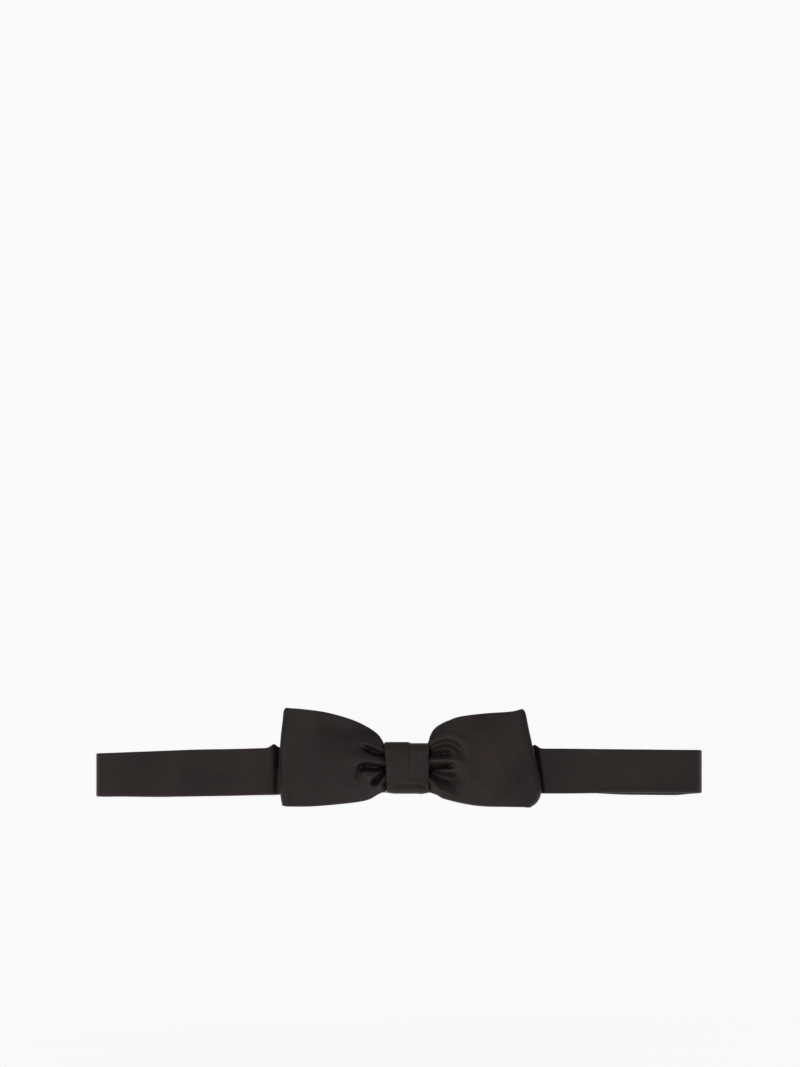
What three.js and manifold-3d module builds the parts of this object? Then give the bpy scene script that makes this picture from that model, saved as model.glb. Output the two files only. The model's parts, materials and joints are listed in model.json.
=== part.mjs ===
// A pre-tied silk bow tie, in millimetres: a folded bow over a rear bow, gathered and bound at the
// waist, a knot wrapped round both, and an adjustable neckband that closes with a hook and an eye.
// +Z is up and -Y is the front. The origin is the middle of the knot's back, where it lies on the
// collar. The neckband is folded flat behind the bow, with its hook slack in its eye.
import * as THREE from "three";
import { mergeVertices } from "three/addons/utils/BufferGeometryUtils.js";
import Module from "manifold-3d";

const wasm = await Module();
wasm.setup();

// ---- Driving dimensions -------------------------------------------------------------------------

// Cloth: a silk cover is a flat tube, open at its ends, with a strip of interlining in it.
const SILK = 0.28; // wall of a cover
const EASE = 0.12; // room between a cover and its interlining
const EDGE_EASE = 0.5; // the same at the strip's two long edges
const BAND_CORE = 0.4; // interlining of the neckband
const BOW_CORE = 0.5; // interlining of the bow
const CLEAR = 0.3; // gap between pieces that lie on each other

// Knot: the wrap is a ring of cloth, seen from the side as a rounded rectangle.
const KNOT_WIDTH = 18.4;
const KNOT_HEIGHT = 20.6;
const KNOT_WALL = 1.1;
const KNOT_CORNER = 2.6; // outer corner radius
const KNOT_CORE = 0.7; // padding behind the knot's face
const KNOT_CORE_INSET = 1.2; // how far the padding stays inside the wrap's ends
const SEAM_DEPTH = 0.7; // groove in the knot's back that its closing stitches lie in
const SEAM_HEIGHT = 1.5;
const SEAM_LENGTH = 13;
const SEAM_Z = -5; // below the middle

// Binding thread round the gathered waist, inside the knot.
const BINDING = 0.7;
const BINDING_WIDTH = 4;

// Front bow: one strip folded to meet itself behind the knot.
const LEFT_WING = 52; // from the middle to the outer fold
const RIGHT_WING = 53.6;
const WING_TOP = 24.3; // above the middle, at the wing's end
const WING_BOTTOM = 16.2; // below the middle
const LEFT_LEAN = 0.04; // how far the outer fold moves inwards for each millimetre up
const RIGHT_LEAN = 0.18;
const WING_FOLD = 2.2; // radius of the outer folds, at the middle of the cloth
const WING_BULGE = 9; // how far before its outer fold the front panel's curve is drawn
const BUTT_GAP = 1.2; // between the strip's two ends

// Rear bow: one flat strip behind the front bow.
const REAR_LEFT = 49.5;
const REAR_RIGHT = 54;
const REAR_TOP = 22.4;
const REAR_BOTTOM = 16.8;

// Neckband.
const BAND_WIDTH = 18;
const LEFT_REACH = 128.4; // from the middle to the outside of the left fold
const RIGHT_REACH = 121.8;
const LOOP_DEPTH = 9; // between the middles of the front run and the back run
const FRONT_LEVEL = -1.5; // height of the front run's middle beside the bow
const LEFT_DROP = 1.9; // how much lower the left fold is
const RIGHT_DROP = 0.5;
const PUCKER = 1.7; // how far the front run's top edge rises where a wing is tacked to it
const PUCKER_BEHIND = 8; // how far a pucker reaches behind its wing
const PUCKER_BESIDE = 5; // how far it reaches outwards
const LEFT_PUCKER_X = 2.5; // beyond the wing's end
const RIGHT_PUCKER_X = 0.5;
const FOLD_GAP = 0.15; // half the gap where a fold is split between two bodies

// Closure: the hook's bar lies in the left strap's turn, the eye's far bar in the right strap's.
const HOOK_X = 18;
const WIRE = 0.7; // radius of the hook's bar and of the eye's wire
const HOOK_PLATE = 0.9; // thickness of the hook's metal
const HOOK_FRAME = 4.6; // from the bar to the middle of the cross plate
const CROSS_PLATE = 2.6; // length of the cross plate
const TONGUE_REACH = 11; // from the bar to the middle of the tongue's bend
const TONGUE_WIDTH = 8;
const TONGUE_TIP = 1.2; // how far the tip returns past the middle of the bend
const TONGUE_SLACK = 0.9; // between the tip and the eye's near bar
const EYE_LENGTH = 8.9; // between the middles of the eye's two bars
const EYE_STEP = 1.7; // how far the right strap's end lies inside the left strap's
const EYE_FLAP = 12; // length of the right strap's turned end
const STEP_LENGTH = 20; // along which the right strap steps inwards
const STEP_EASE = 8; // how far the step's curve stays level at each end
const HOOK_FLAP = 2; // length of the left strap past its turn

// Slider: the strap runs straight through it, over the bar that its own end is sewn round.
const SLIDER_X = -32;
const SLIDER_LENGTH = 13;
const SLIDER_BAR = 1; // thickness and width of each bar
const SLIDER_RAIL = 1.3;
const SLIDER_FLAP = 9; // length of the end sewn round the bar

// Thread and label.
const BARTACK_WIDTH = 1.2;
const BARTACK_THICK = 0.4;
const BARTACK_MARGIN = 2; // from each edge of the strap
const BARTACK_INSET = 2.5; // from the end of a turned flap to its bartack
const WING_TACK_RADIUS = 0.9;
const WING_TACK_INSET = 5; // from a wing's outer fold
const WING_TACK_Z = 5.5;
const LABEL_LENGTH = 26;
const LABEL_HEIGHT = 11;
const LABEL_THICK = 0.3;
const LABEL_INSET = 12; // from the left fold
const LABEL_SEAM = 1.5; // from the label's end to its stitches
const LABEL_MARGIN = 0.5; // from the label's edge to its stitches

// ---- Places worked out from them ----------------------------------------------------------------

const BAND = BAND_CORE + 2 * (EASE + SILK); // thickness of a covered strip
const BOW = BOW_CORE + 2 * (EASE + SILK);

// The layers through the knot, from the collar forwards: the middle of each cloth layer.
const bandY = -(KNOT_WALL + CLEAR + BAND / 2);
const bindingBack = bandY - BAND / 2 - CLEAR;
const rearBowY = bindingBack - BINDING - CLEAR - BOW / 2;
const bowBackY = rearBowY - BOW - CLEAR;
const bowFrontY = bowBackY - BOW - CLEAR;
const bindingFront = bowFrontY - BOW / 2 - CLEAR - BINDING;
const knotCoreY = bindingFront - CLEAR - KNOT_CORE / 2;
const knotFront = knotCoreY - KNOT_CORE / 2 - CLEAR - KNOT_WALL;

// Half heights inside the knot.
const bindingHalf = KNOT_HEIGHT / 2 - KNOT_WALL - CLEAR;
const pinchHalf = bindingHalf - BINDING - CLEAR;
const bandWaistHalf = bindingHalf - (KNOT_CORNER - KNOT_WALL); // clear of the ring's inside corners

// Neckband: the back run lies behind the front run, and round the folds' middle radius.
const backY = bandY + LOOP_DEPTH;
const foldRadius = LOOP_DEPTH / 2;
const foldY = bandY + foldRadius;
const leftFoldX = -(LEFT_REACH - BAND / 2 - foldRadius);
const rightFoldX = RIGHT_REACH - BAND / 2 - foldRadius;
const backLevel = FRONT_LEVEL - (LEFT_DROP + RIGHT_DROP) / 3;
const turnRadius = WIRE + CLEAR + BAND / 2; // a strap's turn round a wire
const hardwareHalf = BAND_WIDTH / 2 + CLEAR; // half the inside width of hook, eye and slider

const hookY = backY - turnRadius;
const bendX = HOOK_X + TONGUE_REACH;
const eyeStrapY = backY - EYE_STEP;
const eyeY = eyeStrapY - turnRadius;
const eyeNearX = bendX - TONGUE_TIP - TONGUE_SLACK - WIRE;
const eyeFarX = eyeNearX + EYE_LENGTH;

const tailY = backY - BAND - CLEAR; // the returning end, where it reaches the slider
const sliderTurn = SLIDER_BAR / 2 + CLEAR + BAND / 2;
const sliderBarY = tailY - sliderTurn;

// ---- Cloth --------------------------------------------------------------------------------------

const smooth = (t) => THREE.MathUtils.smoothstep(t, 0, 1);

// A value that passes through [place, value] stops, level at each of them.
function through(stops) {
  return (place) => {
    const next = stops.findIndex(([at]) => place < at);
    if (next === 0) return stops[0][1];
    if (next < 0) return stops[stops.length - 1][1];
    const [[from, low], [to, high]] = [stops[next - 1], stops[next]];
    return THREE.MathUtils.lerp(low, high, smooth((place - from) / (to - from)));
  };
}

// A value that passes through [place, value] stops in straight lines.
function straight(stops) {
  return (place) => {
    const next = stops.findIndex(([at]) => place < at);
    if (next === 0) return stops[0][1];
    if (next < 0) return stops[stops.length - 1][1];
    const [[from, low], [to, high]] = [stops[next - 1], stops[next]];
    return THREE.MathUtils.mapLinear(place, from, to, low, high);
  };
}

const NOTHING = 1e-6; // a curve shorter than this only joins two others
const LINE_STEP = 5; // longest step along a straight stretch
const CURVE_STEPS = 10; // steps along a curve
const ARC_STEPS = 6; // steps along a turn

// The points and directions where a plan path is cut into steps. reach lengthens both ends.
function stations(path, reach) {
  const found = [];
  for (const curve of path.curves.filter((each) => each.getLength() > NOTHING)) {
    const line = Math.ceil(curve.getLength() / LINE_STEP);
    const steps = curve.isLineCurve ? line : curve.isEllipseCurve ? ARC_STEPS : CURVE_STEPS;
    for (let i = found.length ? 1 : 0; i <= steps; i++)
      found.push({ at: curve.getPoint(i / steps), way: curve.getTangent(i / steps) });
  }
  const [first, last] = [found[0], found[found.length - 1]];
  first.at.addScaledVector(first.way, -reach);
  last.at.addScaledVector(last.way, reach);
  return found;
}

// A strip of cloth on edge: a box bent along a plan path. low(x) and high(x) are its edges, inset
// takes from both, and lean(x, z) moves a point along X.
function strip(path, { low, high, thickness, inset = 0, reach = 0, rows = 1, lean = () => 0 }) {
  const line = stations(path, reach);
  const steps = line.length - 1;
  const box = new THREE.BoxGeometry(1, 1, 1, steps, rows, 1);
  const points = box.attributes.position;
  for (let i = 0; i < points.count; i++) {
    const { at, way } = line[Math.round((points.getX(i) + 0.5) * steps)];
    const out = points.getZ(i) * thickness;
    const z = THREE.MathUtils.lerp(low(at.x) + inset, high(at.x) - inset, points.getY(i) + 0.5);
    const x = at.x + way.y * out;
    points.setXYZ(i, x + lean(x, z), at.y - way.x * out, z);
  }
  return box;
}

function solidOf(geometry) {
  const bare = geometry.clone();
  bare.deleteAttribute("normal");
  bare.deleteAttribute("uv");
  const merged = mergeVertices(bare, 1e-3);
  const mesh = new wasm.Mesh({
    numProp: 3,
    vertProperties: new Float32Array(merged.attributes.position.array),
    triVerts: new Uint32Array(merged.index.array),
  });
  return new wasm.Manifold(mesh);
}

function geometryOf(solid) {
  const { vertProperties, triVerts } = solid.getMesh();
  const geometry = new THREE.BufferGeometry();
  geometry.setAttribute("position", new THREE.BufferAttribute(vertProperties, 3));
  geometry.setIndex(new THREE.BufferAttribute(triVerts, 1));
  return geometry;
}

const joined = (...geometries) =>
  geometryOf(geometries.map(solidOf).reduce((whole, next) => whole.add(next)));

const cut = (geometry, tool) => geometryOf(solidOf(geometry).subtract(solidOf(tool)));

// A silk cover: a strip less the room inside it, which runs out of both ends.
function cover(path, core, shape) {
  const thickness = core + 2 * (EASE + SILK);
  const outside = strip(path, { ...shape, thickness });
  const room = { ...shape, thickness: core + 2 * EASE, inset: SILK, reach: 1 };
  return cut(outside, strip(path, room));
}

// The interlining of a cover stops short of the cover's ends.
const interlining = (path, core, shape) =>
  strip(path, { ...shape, thickness: core, inset: SILK + EDGE_EASE, reach: -CLEAR });

// ---- Plain solids -------------------------------------------------------------------------------

const block = (lengthX, depthY, heightZ, x, y, z) =>
  new THREE.BoxGeometry(lengthX, depthY, heightZ).translate(x, y, z);

const ROUND_SIDES = 12;

// A round bar along Z.
const barZ = (radius, length, x, y, z) =>
  new THREE.CylinderGeometry(radius, radius, length, ROUND_SIDES)
    .rotateX(Math.PI / 2)
    .translate(x, y, z);

// A rounded rectangle from back to front and from -half to half in height, as a shape in (y, z).
function roundedShape(Kind, front, back, half, corner) {
  const shape = new Kind();
  shape.moveTo(back, -half + corner);
  shape.lineTo(back, half - corner);
  shape.absarc(back - corner, half - corner, corner, 0, Math.PI / 2, false);
  shape.lineTo(front + corner, half);
  shape.absarc(front + corner, half - corner, corner, Math.PI / 2, Math.PI, false);
  shape.lineTo(front, -half + corner);
  shape.absarc(front + corner, -half + corner, corner, Math.PI, 1.5 * Math.PI, false);
  shape.lineTo(back - corner, -half);
  shape.absarc(back - corner, -half + corner, corner, 1.5 * Math.PI, 2 * Math.PI, false);
  return shape;
}

// A ring round the X axis with an even wall, centred on x = 0.
function ringX(width, front, back, half, corner, wall) {
  const shape = roundedShape(THREE.Shape, front, back, half, corner);
  const inner = Math.max(corner - wall, 0.1);
  shape.holes.push(roundedShape(THREE.Path, front + wall, back - wall, half - wall, inner));
  const alongX = new THREE.Matrix4().makeBasis(
    new THREE.Vector3(0, 1, 0),
    new THREE.Vector3(0, 0, 1),
    new THREE.Vector3(1, 0, 0),
  );
  return new THREE.ExtrudeGeometry(shape, { depth: width, bevelEnabled: false, curveSegments: 4 })
    .applyMatrix4(alongX)
    .translate(-width / 2, 0, 0);
}

// ---- Materials ----------------------------------------------------------------------------------

const finish = (color, roughness, metalness) =>
  new THREE.MeshStandardMaterial({ color, roughness, metalness });

const blackSilk = finish(0x2c2828, 0.5, 0);
const canvas = finish(0xcfc8b8, 0.9, 0);
const blackThread = finish(0x1a1818, 0.8, 0);
const nickel = finish(0xc9c9cc, 0.25, 1);
const labelSatin = finish(0x3a3736, 0.55, 0);

const bowTie = new THREE.Group();

function add(name, material, geometry) {
  const mesh = new THREE.Mesh(geometry, material);
  mesh.name = name;
  bowTie.add(mesh);
}

// ---- Bow ----------------------------------------------------------------------------------------

const waistX = KNOT_WIDTH / 2 + CLEAR; // where the cloth comes out of the knot

// How a wing opens from the gathered waist (0) to its full height (1), against its length.
const LEFT_TOP_FLARE = [
  [0, 0.03], [0.03, 0.17], [0.11, 0.39], [0.22, 0.56], [0.37, 0.76], [0.6, 0.93], [0.95, 1], [1, 0.93],
];
const RIGHT_TOP_FLARE = [
  [0, 0.03], [0.02, 0.34], [0.07, 0.51], [0.16, 0.68], [0.28, 0.8], [0.45, 0.87], [0.95, 0.98], [1, 0.92],
];
const LEFT_BOTTOM_FLARE = [
  [0, 0.03], [0.05, 0.33], [0.13, 0.55], [0.24, 0.72], [0.46, 0.85], [0.75, 0.96], [1, 0.98],
];
const RIGHT_BOTTOM_FLARE = [
  [0, 0.03], [0.04, 0.33], [0.14, 0.55], [0.3, 0.84], [0.5, 0.97], [0.92, 1], [1, 0.62],
];

// The edge of a bow as a function of x, from its half height at the waist to its full height.
function edge(full, leftLength, rightLength, leftFlare, rightFlare) {
  const [left, right] = [straight(leftFlare), straight(rightFlare)];
  return (x) => {
    const length = x < 0 ? leftLength : rightLength;
    const out = (Math.abs(x) - waistX) / (length - waistX);
    if (out <= 0) return pinchHalf;
    return THREE.MathUtils.lerp(pinchHalf, full, (x < 0 ? left : right)(out));
  };
}

// The outline of a bow: its two edges and the lean of its ends.
function bowShape(left, right, top, bottom) {
  const below = edge(bottom, left, right, LEFT_BOTTOM_FLARE, RIGHT_BOTTOM_FLARE);
  return {
    high: edge(top, left, right, LEFT_TOP_FLARE, RIGHT_TOP_FLARE),
    low: (x) => -below(x),
    lean: (x, z) => (x < 0 ? LEFT_LEAN : RIGHT_LEAN) * -z * (x / (x < 0 ? left : right)),
    rows: 2,
  };
}

// The front bow's strip seen from above: from behind the knot round the left fold, across the
// front and round the right fold to behind the knot again.
function frontBowPath() {
  const foldBack = bowBackY - CLEAR;
  const foldFront = foldBack - 2 * WING_FOLD;
  const pull = foldFront - WING_BULGE; // draws the front panel forwards beside the knot
  const [left, right] = [-(LEFT_WING - WING_FOLD), RIGHT_WING - WING_FOLD];
  const path = new THREE.Path();
  path.moveTo(-BUTT_GAP / 2, bowBackY);
  path.lineTo(-waistX, bowBackY);
  path.bezierCurveTo(left / 2, bowBackY, left / 2, foldBack, left, foldBack);
  path.absarc(left, foldBack - WING_FOLD, WING_FOLD, 0.5 * Math.PI, 1.5 * Math.PI, false);
  path.bezierCurveTo(left * 0.65, foldFront, left * 0.3, pull, -waistX, bowFrontY);
  path.lineTo(waistX, bowFrontY);
  path.bezierCurveTo(right * 0.3, pull, right * 0.65, foldFront, right, foldFront);
  path.absarc(right, foldBack - WING_FOLD, WING_FOLD, 1.5 * Math.PI, 2.5 * Math.PI, false);
  path.bezierCurveTo(right / 2, foldBack, right / 2, bowBackY, waistX, bowBackY);
  path.lineTo(BUTT_GAP / 2, bowBackY);
  return path;
}

function linePath(start, ...rest) {
  const path = new THREE.Path();
  path.moveTo(...start);
  rest.forEach((point) => path.lineTo(...point));
  return path;
}

const frontBow = bowShape(LEFT_WING, RIGHT_WING, WING_TOP, WING_BOTTOM);
add("front_bow_silk", blackSilk, cover(frontBowPath(), BOW_CORE, frontBow));
add("front_bow_interlining", canvas, interlining(frontBowPath(), BOW_CORE, frontBow));

const rearBow = bowShape(REAR_LEFT, REAR_RIGHT, REAR_TOP, REAR_BOTTOM);
const rearBowPath = linePath(
  ...[-REAR_LEFT, -waistX, waistX, REAR_RIGHT].map((x) => [x, rearBowY]),
);
add("rear_bow_silk", blackSilk, cover(rearBowPath, BOW_CORE, rearBow));
add("rear_bow_interlining", canvas, interlining(rearBowPath, BOW_CORE, rearBow));

add(
  "binding_thread",
  blackThread,
  ringX(BINDING_WIDTH, bindingFront, bindingBack, bindingHalf, 1, BINDING),
);

// ---- Knot ---------------------------------------------------------------------------------------

const knotRing = ringX(KNOT_WIDTH, knotFront, 0, KNOT_HEIGHT / 2, KNOT_CORNER, KNOT_WALL);
const seamGroove = block(SEAM_LENGTH, 2 * SEAM_DEPTH, SEAM_HEIGHT, 0, 0, SEAM_Z);
add("knot_wrap", blackSilk, cut(knotRing, seamGroove));

const knotCoreHeight = 2 * (KNOT_HEIGHT / 2 - KNOT_CORNER);
add(
  "knot_interlining",
  canvas,
  block(KNOT_WIDTH - 2 * KNOT_CORE_INSET, KNOT_CORE, knotCoreHeight, 0, knotCoreY, 0),
);

const seamThread = SEAM_DEPTH - CLEAR;
add(
  "knot_back_stitches",
  blackThread,
  block(SEAM_LENGTH - 2 * CLEAR, seamThread, SEAM_HEIGHT - 2 * CLEAR, 0, -seamThread / 2, SEAM_Z),
);

// ---- Neckband -----------------------------------------------------------------------------------

// The middle of the front run drops towards both folds and is drawn level inside the knot.
const puckerX = [-(LEFT_WING + LEFT_PUCKER_X), RIGHT_WING + RIGHT_PUCKER_X];
const frontMiddle = through([
  [-LEFT_REACH, FRONT_LEVEL - LEFT_DROP],
  [puckerX[0], FRONT_LEVEL],
  [-waistX, 0],
  [waistX, 0],
  [puckerX[1], FRONT_LEVEL],
  [RIGHT_REACH, FRONT_LEVEL - RIGHT_DROP],
]);
const frontHalf = through([
  [puckerX[0] + PUCKER_BEHIND, BAND_WIDTH / 2],
  [-waistX, bandWaistHalf],
  [waistX, bandWaistHalf],
  [puckerX[1] - PUCKER_BEHIND, BAND_WIDTH / 2],
]);
const pucker = through([
  [puckerX[0] - PUCKER_BESIDE, 0],
  [puckerX[0], PUCKER],
  [puckerX[0] + PUCKER_BEHIND, 0],
  [puckerX[1] - PUCKER_BEHIND, 0],
  [puckerX[1], PUCKER],
  [puckerX[1] + PUCKER_BESIDE, 0],
]);
const frontRun = {
  low: (x) => frontMiddle(x) - frontHalf(x),
  high: (x) => frontMiddle(x) + frontHalf(x) + pucker(x),
};

const foldStart = FOLD_GAP / foldRadius; // angle left open where a fold is split

function frontRunPath() {
  const path = new THREE.Path();
  path.absarc(leftFoldX, foldY, foldRadius, Math.PI + foldStart, 1.5 * Math.PI, false);
  path.lineTo(-waistX, bandY);
  path.lineTo(waistX, bandY);
  path.lineTo(rightFoldX, bandY);
  path.absarc(rightFoldX, foldY, foldRadius, 1.5 * Math.PI, 2 * Math.PI - foldStart, false);
  return path;
}

add("neckband_front_silk", blackSilk, cover(frontRunPath(), BAND_CORE, frontRun));
add("neckband_front_interlining", canvas, interlining(frontRunPath(), BAND_CORE, frontRun));

// A back run is level where the hardware is, and meets the front run's height at its fold.
function backRun(foldX, foldHeight) {
  const levelX = foldX - Math.sign(foldX) * 2 * foldRadius;
  const stops = [
    [foldX, foldHeight],
    [levelX, backLevel],
  ];
  const middle = through(stops.sort((a, b) => a[0] - b[0]));
  return {
    low: (x) => middle(x) - BAND_WIDTH / 2,
    high: (x) => middle(x) + BAND_WIDTH / 2,
  };
}

// The left strap turns round the hook's bar and ends just past it, facing the slider.
function leftStrapPath() {
  const path = new THREE.Path();
  path.absarc(leftFoldX, foldY, foldRadius, Math.PI - foldStart, 0.5 * Math.PI, true);
  path.lineTo(HOOK_X, backY);
  path.absarc(HOOK_X, hookY, turnRadius, 0.5 * Math.PI, -0.5 * Math.PI, true);
  path.lineTo(HOOK_X - HOOK_FLAP, hookY - turnRadius);
  return path;
}

const leftRun = backRun(-LEFT_REACH, FRONT_LEVEL - LEFT_DROP);
add("neckband_left_silk", blackSilk, cover(leftStrapPath(), BAND_CORE, leftRun));
add("neckband_left_interlining", canvas, interlining(leftStrapPath(), BAND_CORE, leftRun));

// The right strap steps inwards before the closure, turns round the eye's far bar and ends in a
// flap along its own inside.
function rightStrapPath() {
  const stepEnd = eyeFarX + EYE_FLAP;
  const stepStart = stepEnd + STEP_LENGTH;
  const path = new THREE.Path();
  path.absarc(rightFoldX, foldY, foldRadius, foldStart, 0.5 * Math.PI, false);
  path.lineTo(stepStart, backY);
  path.bezierCurveTo(
    ...[stepStart - STEP_EASE, backY],
    ...[stepEnd + STEP_EASE, eyeStrapY],
    ...[stepEnd, eyeStrapY],
  );
  path.lineTo(eyeFarX, eyeStrapY);
  path.absarc(eyeFarX, eyeY, turnRadius, 0.5 * Math.PI, 1.5 * Math.PI, false);
  path.lineTo(eyeFarX + EYE_FLAP, eyeY - turnRadius);
  return path;
}

const rightRun = backRun(RIGHT_REACH, FRONT_LEVEL - RIGHT_DROP);
add("neckband_right_silk", blackSilk, cover(rightStrapPath(), BAND_CORE, rightRun));
add("neckband_right_interlining", canvas, interlining(rightStrapPath(), BAND_CORE, rightRun));

// ---- Hook and eye -------------------------------------------------------------------------------

const level = (half) => ({ low: () => backLevel - half, high: () => backLevel + half });
const railOuter = hardwareHalf + 2 * WIRE;

function tonguePath() {
  const path = new THREE.Path();
  path.moveTo(HOOK_X + HOOK_FRAME, hookY);
  path.lineTo(bendX, hookY);
  path.absarc(bendX, hookY - turnRadius, turnRadius, 0.5 * Math.PI, -0.5 * Math.PI, true);
  path.lineTo(bendX - TONGUE_TIP, hookY - 2 * turnRadius);
  return path;
}

const hookRail = (side) =>
  block(
    HOOK_FRAME + CROSS_PLATE / 2,
    HOOK_PLATE,
    2 * WIRE,
    HOOK_X + (HOOK_FRAME + CROSS_PLATE / 2) / 2,
    hookY,
    backLevel + side * (hardwareHalf + WIRE),
  );

add(
  "hook",
  nickel,
  joined(
    barZ(WIRE, 2 * railOuter, HOOK_X, hookY, backLevel),
    hookRail(-1),
    hookRail(1),
    block(CROSS_PLATE, HOOK_PLATE, 2 * railOuter, HOOK_X + HOOK_FRAME, hookY, backLevel),
    strip(tonguePath(), { ...level(TONGUE_WIDTH / 2), thickness: HOOK_PLATE }),
  ),
);

const eyeRail = (side) =>
  block(
    EYE_LENGTH,
    2 * WIRE,
    2 * WIRE,
    (eyeNearX + eyeFarX) / 2,
    eyeY,
    backLevel + side * (hardwareHalf + WIRE),
  );

add(
  "eye",
  nickel,
  joined(
    barZ(WIRE, 2 * railOuter, eyeNearX, eyeY, backLevel),
    barZ(WIRE, 2 * railOuter, eyeFarX, eyeY, backLevel),
    eyeRail(-1),
    eyeRail(1),
  ),
);

// ---- Slider -------------------------------------------------------------------------------------

const sliderOuter = hardwareHalf + SLIDER_RAIL;
const sliderOutY = backY + BAND / 2 + CLEAR + SLIDER_BAR / 2; // the two bars outside the strap
const sliderDepth = sliderOutY - sliderBarY + SLIDER_BAR;

const outerBar = (side) =>
  block(
    SLIDER_BAR,
    SLIDER_BAR,
    2 * sliderOuter,
    SLIDER_X + (side * (SLIDER_LENGTH - SLIDER_BAR)) / 2,
    sliderOutY,
    backLevel,
  );
const sliderRail = (side) =>
  block(
    SLIDER_LENGTH,
    sliderDepth,
    SLIDER_RAIL,
    SLIDER_X,
    (sliderOutY + sliderBarY) / 2,
    backLevel + side * (hardwareHalf + SLIDER_RAIL / 2),
  );

add(
  "slider",
  nickel,
  joined(
    outerBar(-1),
    outerBar(1),
    barZ(SLIDER_BAR / 2, 2 * sliderOuter, SLIDER_X, sliderBarY, backLevel),
    sliderRail(-1),
    sliderRail(1),
  ),
);

const flapEnd = SLIDER_X + SLIDER_FLAP;
const flapY = tailY - 2 * sliderTurn;
const bandLevel = level(BAND_WIDTH / 2);

function sliderLoopPath() {
  const path = new THREE.Path();
  path.moveTo(flapEnd, tailY);
  path.lineTo(SLIDER_X, tailY);
  path.absarc(SLIDER_X, sliderBarY, sliderTurn, 0.5 * Math.PI, 1.5 * Math.PI, false);
  path.lineTo(flapEnd, flapY);
  return path;
}

add("slider_end_loop", blackSilk, strip(sliderLoopPath(), { ...bandLevel, thickness: BAND }));

// The strap's returning end, between the hook's turn and the end loop round the slider's bar.
const tailPath = linePath(
  [HOOK_X - HOOK_FLAP - CLEAR, hookY - turnRadius],
  [flapEnd + CLEAR, tailY],
);
add("adjuster_tail", blackSilk, strip(tailPath, { ...bandLevel, thickness: BAND }));

// ---- Thread and label ---------------------------------------------------------------------------

const bartack = (x, clothY) =>
  block(
    BARTACK_WIDTH,
    BARTACK_THICK,
    BAND_WIDTH - 2 * BARTACK_MARGIN,
    x,
    clothY - BAND / 2 - CLEAR - BARTACK_THICK / 2,
    backLevel,
  );
add("slider_bartack", blackThread, bartack(flapEnd - BARTACK_INSET, flapY));
add("eye_bartack", blackThread, bartack(eyeFarX + EYE_FLAP - BARTACK_INSET, eyeY - turnRadius));

// A tack holds the neckband to the back of each wing, and draws up the band's top edge there.
const tackFront = rearBowY + BOW / 2 + CLEAR;
const tackBack = bandY - BAND / 2 - CLEAR;
const wingTack = (x) =>
  new THREE.CylinderGeometry(WING_TACK_RADIUS, WING_TACK_RADIUS, tackBack - tackFront, ROUND_SIDES)
    .translate(x, (tackBack + tackFront) / 2, WING_TACK_Z);
add("left_wing_tack", blackThread, wingTack(-(REAR_LEFT - WING_TACK_INSET)));
add("right_wing_tack", blackThread, wingTack(REAR_RIGHT - WING_TACK_INSET));

const labelX = -LEFT_REACH + LABEL_INSET + LABEL_LENGTH / 2;
const labelY = backY - BAND / 2 - CLEAR - LABEL_THICK / 2;
add("label", labelSatin, block(LABEL_LENGTH, LABEL_THICK, LABEL_HEIGHT, labelX, labelY, backLevel));

const labelStitches = (side) =>
  block(
    BARTACK_WIDTH / 2,
    LABEL_THICK,
    LABEL_HEIGHT - 2 * LABEL_MARGIN,
    labelX + side * (LABEL_LENGTH / 2 - LABEL_SEAM),
    labelY - LABEL_THICK - CLEAR,
    backLevel,
  );
add("label_stitches_left", blackThread, labelStitches(-1));
add("label_stitches_right", blackThread, labelStitches(1));

export default bowTie;
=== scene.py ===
"""A pre-tied bow tie in black satin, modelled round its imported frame.

The file is laid out as an add-on. Each operator makes one piece or one group of like pieces, and
main() calls them in order. Shapes are worked out in millimetres and stored in metres.
"""

import json
import math

import bmesh
import bpy
from bpy.props import FloatProperty, FloatVectorProperty, PointerProperty
from mathutils import Matrix, Vector, noise


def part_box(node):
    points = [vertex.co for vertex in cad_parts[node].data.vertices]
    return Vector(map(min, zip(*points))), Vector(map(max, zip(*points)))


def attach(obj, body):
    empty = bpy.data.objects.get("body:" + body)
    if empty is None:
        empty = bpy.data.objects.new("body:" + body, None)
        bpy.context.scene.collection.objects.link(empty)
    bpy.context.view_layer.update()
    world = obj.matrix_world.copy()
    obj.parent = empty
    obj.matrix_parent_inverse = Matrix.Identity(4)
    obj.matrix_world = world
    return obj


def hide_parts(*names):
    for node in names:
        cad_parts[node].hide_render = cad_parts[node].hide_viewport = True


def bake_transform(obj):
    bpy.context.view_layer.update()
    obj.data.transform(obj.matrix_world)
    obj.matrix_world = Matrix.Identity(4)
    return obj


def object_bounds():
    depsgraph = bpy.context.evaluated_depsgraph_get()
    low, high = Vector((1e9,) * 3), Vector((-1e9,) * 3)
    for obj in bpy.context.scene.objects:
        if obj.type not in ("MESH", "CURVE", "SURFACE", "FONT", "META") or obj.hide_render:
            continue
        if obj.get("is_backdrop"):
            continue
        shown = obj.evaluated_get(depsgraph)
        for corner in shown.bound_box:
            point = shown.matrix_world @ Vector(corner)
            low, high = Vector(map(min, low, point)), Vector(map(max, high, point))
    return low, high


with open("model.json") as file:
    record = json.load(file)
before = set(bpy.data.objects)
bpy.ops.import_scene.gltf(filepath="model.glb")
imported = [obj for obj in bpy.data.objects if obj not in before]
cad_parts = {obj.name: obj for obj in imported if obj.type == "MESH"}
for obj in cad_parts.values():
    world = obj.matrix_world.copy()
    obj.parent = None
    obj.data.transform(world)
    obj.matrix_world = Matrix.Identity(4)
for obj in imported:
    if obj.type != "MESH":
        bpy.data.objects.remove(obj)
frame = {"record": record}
CAD_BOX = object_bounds()

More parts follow.
